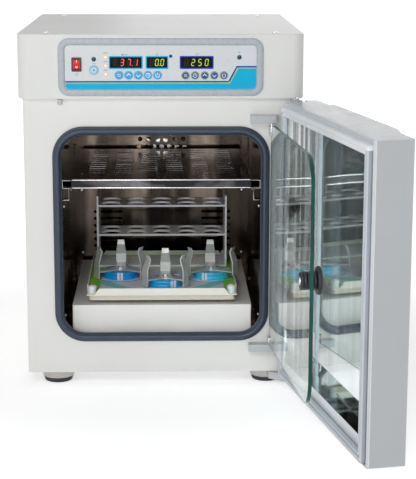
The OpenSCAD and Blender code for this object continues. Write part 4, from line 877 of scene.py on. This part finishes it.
def key_marks(name, r):
    """Outlines and bands of the mark on a key, about its middle."""
    number = int(name[-1]) if name[-1].isdigit() else 0
    up_key, down_key = (2, 3) if name.startswith("heat") else (3, 4)
    if number in (up_key, down_key):
        s = 1 if number == up_key else -1
        chevron = [(-0.48, -0.22), (0, 0.26), (0.48, -0.22), (0.48, 0.02), (0, 0.5), (-0.48, 0.02)]
        return [[(x * r, s * z * r) for x, z in chevron[::s]]], []
    if number == 1:
        sliders = [bar(-0.42 * r, s * 0.2 * r, 0.42 * r, s * 0.2 * r, 0.13 * r) for s in (-1, 1)]
        knobs = [circle(x * r, z * r, 0.17 * r, 10) for x, z in ((-0.16, 0.2), (0.2, -0.2))]
        return sliders + knobs, []
    if number in (2, 4):
        hands = [bar(0, 0, 0, 0.36 * r, 0.12 * r), bar(0, 0, 0.28 * r, 0, 0.12 * r)]
        return hands, [ring(0, 0, 0.42 * r, 0.56 * r)]
    if number == 5:
        return [bar(0, 0.08 * r, 0, 0.56 * r, 0.13 * r)], [(0, 0, 0.38 * r, 0.52 * r, 130, 410)]
    return [[(-0.2 * r, -0.34 * r), (0.4 * r, 0), (-0.2 * r, 0.34 * r)]], [ring(0, 0, 0.6 * r, 0.68 * r)]


for node, r, cap, rim in KEYS:
    x, _, z = axis_of(node + "_press")
    cap_form = [(0, 0), (r * 0.45, 0.03), (r * 0.74, 0.12), (r * 0.78, 0.26), (r * 0.84, 0.14),
                (r * 0.93, 0.2), (r, 0.55), (r, 3.7), (0, 3.7)]
    make(node + "_cap", *turned(cap_form, (x, KEY_FACE, z), "y", 44), node, cap, stands_for=node, sharp=50)
    rim_band = ring(x, z, r * 0.83, r * 0.94)
    flat(node + "_rim", [], KEY_FACE + 0.02, KEY_FACE + 0.25, node, rim, bands=[rim_band])
    shapes, arcs = key_marks(node, r)
    outlines = [[shifted(point, (x, z)) for point in shape] for shape in shapes]
    arcs = [(x + a, z + b, *arc) for a, b, *arc in arcs]
    ink = "ink_cyan" if node == "start_key" else "ink_white"
    flat(node + "_mark", outlines, KEY_FACE, KEY_FACE + 0.3, node, ink, bands=arcs)


# Chamber

frame_as("chamber_gasket", 45.8,
         [(0, 0), (0, -2.1), (0.5, -3.3), (1.5, -3.9), (2.6, -4.1), (3.2, -4.9), (3.7, -6.3), (4.6, -7.3),
          (5.8, -7.85), (7.2, -8), (8.6, -7.7), (9.8, -6.9), (10.6, -5.6), (11, -3.9), (11.3, -1.9),
          (12.2, -0.7), (13.2, -0.2), (13.3, 1.6), (12.85, 1.6), (12.8, 0.05)],
         "gasket_rubber", FRONT, steps=22, sharp=60)
coat("insulation", "foam")
soften("chamber_liner", 1.6, "chamber_steel", segments=3, sharp=50,
       pick=lambda a, b, m: abs(m.x) < 150 and m.y > -225 and 74 < m.z < 394 and (b - a).length > 100)
soften("air_duct_panel", 0.4, "duct_steel", pick=longer(4))
# The shelf's and rails' rounded edges and the shelf's hems are pale steel, a painted highlight.
soften("shelf", 0.42, ("shelf_steel", "bright_edge"), bevelled=1, pick=longer(3))
HEM = [(0, -134), (0.75, -133.6), (0.95, -133), (0.95, 133), (0.75, 133.6), (0, 134)]
make("shelf_hems", *joined([turned(HEM, (0, -217.5, z), "x", 14) for z in (314.5, 302.6)]), "cabinet",
     "bright_edge", slot=SLOTS["shelf"])
soften("shelf_rails", 0.4, ("rail_steel", "bright_edge"), pick=longer(8), bevelled=1)
# Lighter paint on the rounded edges: a painted highlight.
soften("drive_cover", 0.9, ("cover_paint", "cover_edge_highlight"), segments=3, bevelled=1,
       pick=lambda a, b, m: (abs(m.x) > 130 or m.y < -205 or m.y > 98) and (b - a).length > 1)
# The carriage plate takes the darker paint: painted shade under the tray.
for node, mat in {"fan_motor": "dark_metal", "fan_rotor": "aluminium", "heater_ring": "dark_metal",
                  "temperature_probe": "chrome", "drive_base": "steel", "bearing_housings": "aluminium",
                  "drive_motor": "dark_metal", "drive_crank": "steel", "idler_crank_left": "steel",
                  "idler_crank_right": "steel", "carriage_plate": "plate_paint"}.items():
    coat(node, mat)

# Small bolts in the chamber's side walls and the duct panel's screws
bolts = [screw_head(3, 1.4, (side * 148.9, y, z), axis) for side, axis in ((-1, "x"), (1, "-x"))
         for y in (-180, 60) for z in (96, 268)]
screws("wall_screws", bolts)
bolts = [screw_head(2.6, 1.2, (x, 118.05, z), "-y") for x in (-138, 138) for z in (130, 240, 362)]
screws("duct_screws", bolts)

# Clamps: (x, y, base radius, radius at the fingers' feet, plastic, angles of the white strips)
CLAMPS = [(-66, -98, 28.5, 43, "blue_plastic", (-90, 30, 150)),
          (5.5, -158, 26, 37, "cyan_blue_plastic", (-62, 45, 160)),
          (78, -102, 28.5, 44, "cyan_plastic", (-112, 12, 140))]

# Platform with its printed mat: a pale field, two slanting bars and a ring round each clamp
MAT_TOP = extent("platform_mat")[1][2]
# Lighter paint on the rounded edges: a painted highlight.
soften("platform_tray", 0.45, ("cream_paint", "cream_edge_highlight"), bevelled=1, pick=longer(1.3))
soften("platform_mat", 0.35, "mat_rubber", pick=longer(1))
flat("mat_print_field", [oblong(-96, -201, 96, -34, (14, 14, 14, 14))], MAT_TOP, MAT_TOP + 0.06,
     "platform", "ink_lilac", view="xy", slot="mat_rubber")
flat("mat_print_bars", [[(s * 96, -120), (s * 96, -150), (s * 52, -201), (s * 26, -201)] for s in (-1, 1)],
     MAT_TOP + 0.06, MAT_TOP + 0.1, "platform", "ink_aqua", view="xy", slot="mat_rubber")
rings = []
for cx, cy, r, reach, *_ in CLAMPS:
    r0, r1 = reach - 5.6, reach - 4.2
    section = [(r0, 0.06), (r0, 0.16), (r1, 0.16), (r1, 0.06), (r0, 0.06)]
    rings.append(turned(section, (cx, cy, MAT_TOP), n=72))
make("mat_print_rings", *joined(rings), "platform", "ink_navy", slot="mat_rubber")


# Thumb knobs: caps with eighteen ribs, over a flange
KNOB = [(0, 148.5), (3.2, 148.5), (3.6, 148.1), (3.8, 147.6), (5.2, 147.5), (6.2, 147.1), (6.5, 146.3),
        (6.5, 139.8), (6.4, 138.9), (7.1, 138.6), (7.5, 138), (7.5, 136.2), (7.2, 135.5), (3, 135.5),
        (3, 127.2), (0, 127.2)]
grip = ribbed(18, 0.035, 5.5, 139.5, 146.5)
knobs = [turned(KNOB, (x, y, 0), n=72, flute=grip) for x in (-106.5, 106.5) for y in (-197, 51)]
make("thumb_knob_forms", *joined(knobs), "platform", "knob_white", stands_for="thumb_knobs", sharp=50)

# Clamp bases: bevelled pucks with pairs of upright white strips; sprung fingers, hub bolts and the tube rack
for i, (cx, cy, r, reach, mat, angles) in enumerate(CLAMPS):
    puck = [(0, 150), (r - 2.2, 150), (r - 0.6, 149.6), (r, 148.6), (r, 145.6), (r - 0.5, 145),
            (r - 0.5, 143.2), (r, 142.6), (r, 139.2), (r - 0.7, 138.1), (0, 138.1)]
    make(f"clamp_base_{i + 1}", *turned(puck, (cx, cy, 0), n=80), "platform", mat, slot="blue_plastic",
         sharp=40, stands_for="clamp_bases" if i == 0 else None)
    strips = []
    for a in angles:
        c, s = cos(radians(a)), sin(radians(a))
        for side in (-2.6, 2.6):
            verts, faces = block((r - 0.6, side - 1.9, 138.6), (r + 0.7, side + 1.9, 150.3), 0.3)
            strips.append(([(cx + x * c - y * s, cy + x * s + y * c, z) for x, y, z in verts], faces))
    make(f"clamp_strips_{i + 1}", *joined(strips), "platform", "strip_white", slot="white_plastic")
# Darker grey on the rounded edges: painted shade.
soften("clamp_fingers", 0.3, ("finger_zinc", "finger_edge_shade"), pick=longer(1.5), bevelled=1, angle=28)
HUB_BOLT = [(0, 155), (2.2, 155), (3.6, 154.6), (4.2, 153.9), (4.2, 152.7), (0, 152.7)]
make("clamp_hub_bolts", *joined([turned(HUB_BOLT, (cx, cy, 0), n=6) for cx, cy, *_ in CLAMPS]), "platform",
     "chrome", slot="steel", sharp=30)
# Lighter plastic on the rounded edges: a painted highlight.
soften("tube_rack", 0.6, ("rack_plastic", "rack_edge_highlight"), pick=longer(1.5), bevelled=1, angle=40)


# Outer door, modelled shut and then turned open

SHUT = DOOR_TURN.inverted()
DOOR_PIN = Vector((DOOR_X, DOOR_Y, 0)) * MM
DOOR_FACE = DOOR_TURN.to_3x3() @ Vector((0, 1, 0))
DOOR_SIDE = DOOR_TURN.to_3x3() @ Vector((-1, 0, 0))
LIT_SEAL_Z = 416


def outside(a, b, m):
    """True for a long edge on the outside of the skin."""
    x, y, z = SHUT @ (m * MM) / MM
    return (b - a).length > 20 and (abs(x) > 203.8 or y < -289.5 or z < 19.6 or z > 436.9)


def liner_mat(f, current):
    """Paint on the flat frame round the recess; on its wall by the hinges brushed steel with painted
    reflection and thin painted highlights; elsewhere polish with painted reflection.
    """
    middle = f.calc_center_median() - DOOR_PIN
    if current == 0 and f.normal.dot(DOOR_FACE) > 0.9 and middle.dot(DOOR_FACE) > 12 * MM:
        return 2
    return 3 if f.normal.dot(DOOR_SIDE) > 0.9 and middle.dot(DOOR_SIDE) < 40 * MM else current


# The skin's rounded edges take a lighter paint and the liner's rounded edges pale steel: painted highlights.
soften("door_skin", 1, ("door_paint", "door_edge_highlight"), segments=3, bevelled=1, pick=outside)
soften("door_liner", 0.7, ("mirror_steel", "bright_edge", "frame_paint", "wall_steel"), pick=longer(60),
       bevelled=1, pick_mat=liner_mat)
coat("door_core", "foam")
SEAL_FOOT = -240.8
SEAL = [(0.6, 0), (0.6, 2.4), (0, 3), (0, 6.2), (0.3, 7.4), (1, 8.4), (2.2, 8.9), (4.4, 9), (6.6, 8.7),
        (7.2, 8.2), (7.5, 7.2), (8.3, 6.6), (9.1, 7.2), (9.4, 8.2), (10.2, 8.8), (11.6, 8.6), (12.5, 7.8),
        (13, 6.6), (13, 2.6), (12.4, 2), (12.4, 0)]
# The seal's inner side and groove take a darker grey, painted shade, and its foot the darkest grey, a painted
# shadow.
seal = frame_ring("door_seal_form", 397, 406.4, 6, SEAL, "outer_door",
                  ("seal_rubber", "seal_side_shade", "seal_shadow", "seal_lit"), z=226.2, y=SEAL_FOOT,
                  index=[2, 2, 1, 1] + [0] * 6 + [1] * 2 + [0] * 6 + [2] * 3, stands_for="door_seal", steps=6,
                  sharp=42, spin=DOOR_TURN)
# Faces of the top run take the pale grey: a painted highlight.
for f in seal.data.polygons:
    if f.center.z > LIT_SEAL_Z * MM:
        f.material_index = 3
trim("door_edge_bead", [(204.2, 433.5, 1, 0), (204.2, 19.3, 1, -1), (-204, 19.3, -1, -1),
                        (-204, 437.1, -1, 1), (188.5, 437.1, 0, 1)],
     [(0, -240.9), (0, -238.6), (0.4, -237.9), (1.2, -237.7), (2, -237.9), (2.5, -238.6), (2.6, -240.9)],
     "outer_door", "bead", slot="seal_rubber", spin=DOOR_TURN, sharp=50)


# Inner glass door, also modelled shut: bevelled pane with green ground edges

GLASS_FACE = GLASS_TURN.to_3x3() @ Vector((0, 1, 0))
GLASS_HALF = 2.6
KNOB_X, KNOB_Z = -131.7, 235
soften("glass_panel", 0.6, ("glass", "glass_edge"), bevelled=1, pick=longer(0.5),
       pick_mat=lambda f, current: 1 if abs(f.normal.dot(GLASS_FACE)) < 0.6 else 0)
soften("glass_hinge_brackets", 0.5, "bracket_paint", segments=3, pick=longer(3))
coat("glass_hinge_pins", "chrome")

# Hinge clips: a knuckle round the pin and a screwed plate on each side of the pane
clips = []
for z0 in (66.5, 386):
    z1 = z0 + 13
    knuckle = [(2.55, z0), (3.8, z0), (4.2, z0 + 0.5), (4.2, z1 - 0.5), (3.8, z1), (2.55, z1), (2.55, z0)]
    clips.append(turned(knuckle, (GLASS_X, GLASS_Y, 0), n=32))
    for s, axis in ((-1, "-y"), (1, "y")):
        y0, y1 = GLASS_Y + s * GLASS_HALF, GLASS_Y + s * 4.4
        clips.append(block((148.3, min(y0, y1), z0), (161.2, max(y0, y1), z1), 0.4))
        clips.append(screw_head(2.2, 0.9, (152.6, y1, (z0 + z1) / 2), axis))
make("glass_clip_forms", *joined(clips), "glass_door", "clip_metal", stands_for="glass_fittings",
     spin=GLASS_TURN, sharp=40)


# Knob through the pane: a ribbed wheel in front, a grooved bush behind, and its screw
WHEEL = [(0, 0), (10.5, 0), (12, 0.2), (12.3, 1), (12.3, 2.9), (12, 3.7), (10.6, 4.1), (10.6, 4.5),
         (12, 4.8), (12.3, 5.6), (12.3, 7.2), (12, 8), (11, 8.5), (16.6, 8.5), (17.9, 9), (18.5, 10.2),
         (18.5, 12.8), (17.9, 13.9), (16.6, 14.5), (13.5, 14.5), (12.9, 14.1), (0, 13.8)]
BUSH = [(0, 0), (10.5, 0), (12, 0.2), (12.3, 1), (12.3, 2.6), (12, 3.4), (10.5, 3.7), (10.5, 4.1),
        (12, 4.4), (12.3, 5.2), (12.3, 6.6), (12, 7.4), (10.8, 7.9), (6.6, 8), (0, 8)]
KNOB_SCREW = [(0, 2), (2.8, 1.95), (4.6, 1.5), (5.4, 0.6), (5.4, -0.1), (0, -0.1)]
knob = [turned(WHEEL, (KNOB_X, GLASS_Y - GLASS_HALF, KNOB_Z), "-y", 80,
               flute=ribbed(20, 0.03, 17.4, 9.6, 13.6)),
        turned(BUSH, (KNOB_X, GLASS_Y + GLASS_HALF, KNOB_Z), "y", 80)]
make("glass_knob", *joined(knob), "glass_door", "knob_black", slot="dark_metal", spin=GLASS_TURN, sharp=50)
make("glass_knob_screw", *turned(KNOB_SCREW, (KNOB_X, GLASS_Y + GLASS_HALF + 8, KNOB_Z), "y", 32),
     "glass_door", "chrome", slot="dark_metal", spin=GLASS_TURN, sharp=50)


# Camera, light, floor

def camera():
    """The camera fitted to the photograph: where it stands, where it looks and its lens."""
    yaw, pitch, roll = radians(1.674), radians(11.957), 0.002043
    ahead = Vector((sin(yaw) * cos(pitch), cos(yaw) * cos(pitch), -sin(pitch)))
    level = Vector((cos(yaw), -sin(yaw), 0))
    above = level.cross(ahead)
    right = level * cos(roll) + above * sin(roll)
    up = above * cos(roll) - level * sin(roll)
    data = bpy.data.cameras.new("camera")
    focal_pixels, picture_height = 1507.96, 479
    data.sensor_width = 36
    data.lens = focal_pixels * data.sensor_width / picture_height
    data.clip_end = 100
    m = Matrix((right, up, -ahead)).transposed().to_4x4()
    m.translation = Vector((4.882, -2446.387, 695.20)) * MM
    ob = placed("camera", data)
    ob.matrix_world = m
    scene.camera = ob


def lamp(name, at, target, size, power):
    data = bpy.data.lights.new(name, "AREA")
    data.shape = "RECTANGLE"
    data.size, data.size_y = size
    data.energy = power
    ob = placed(name, data)
    ob.location = at
    ob.rotation_euler = (Vector(target) - Vector(at)).to_track_quat("-Z", "Y").to_euler()


def surroundings():
    """A white room that is seen white and lights the object less."""
    world = bpy.data.worlds.new("studio")
    scene.world = world
    n = Nodes(world)
    back = n.node("Background")
    back.inputs[0].default_value = (1, 1, 1, 1)
    n.join(n.ramp(n.seen(), 0, 1, 0.22, 1), back.inputs[1])
    n.join(back.outputs[0], n.node("OutputWorld").inputs[0])


def ground():
    """A pale floor, lifted towards white away from the object so that only its shadow shows."""
    f = Finish("floor", Roughness=0.9)
    f.colour(f.mix(f.ramp(f.noise(2, 2), 0.3, 0.7), (0.9, 0.9, 0.9, 1), (0.92, 0.92, 0.92, 1)))
    span = f.node("VectorMath", operation="LENGTH")
    f.join(f.place(), span.inputs[0])
    shown = f.ramp(span.outputs["Value"], 0.4, 1.1, 0.16, 0.55)
    lift = f.node("Emission")
    f.join(f.math("ADD", f.math("MULTIPLY", f.seen(), shown), 0.34), lift.inputs["Strength"])
    total = f.node("AddShader")
    f.join(f.shader.outputs[0], total.inputs[0])
    f.join(lift.outputs[0], total.inputs[1])
    f.join(total.outputs[0], f.out.inputs["Surface"])
    mesh = bpy.data.meshes.new("floor")
    s = 40
    mesh.from_pydata([(-s, -s, 0), (s, -s, 0), (s, s, 0), (-s, s, 0)], [], [(0, 1, 2, 3)])
    mesh.materials.append(f.mat)
    ob = placed("floor", mesh)


camera()
lamp("key", (-2.4, -2.4, 1.9), (0, 0, 0.25), (1.6, 1.6), 13.5)
lamp("high", (-0.5, -2.8, 2), (0, -0.1, 0.15), (0.9, 0.9), 17)
lamp("front", (-0.4, -3.4, 0.64), (0, 0, 0.2), (1.5, 0.5), 14.5)
lamp("fill", (2.4, -3, 1), (0, 0, 0.3), (1.8, 1.8), 2)
lamp("back", (0.8, 3.4, 0.7), (0, 0, 0.25), (2, 1), 11)
lamp("top", (0.3, 0.6, 2.6), (0, 0, 0.4), (2, 2), 5.5)
surroundings()
ground()
scene.view_settings.view_transform = "Standard"
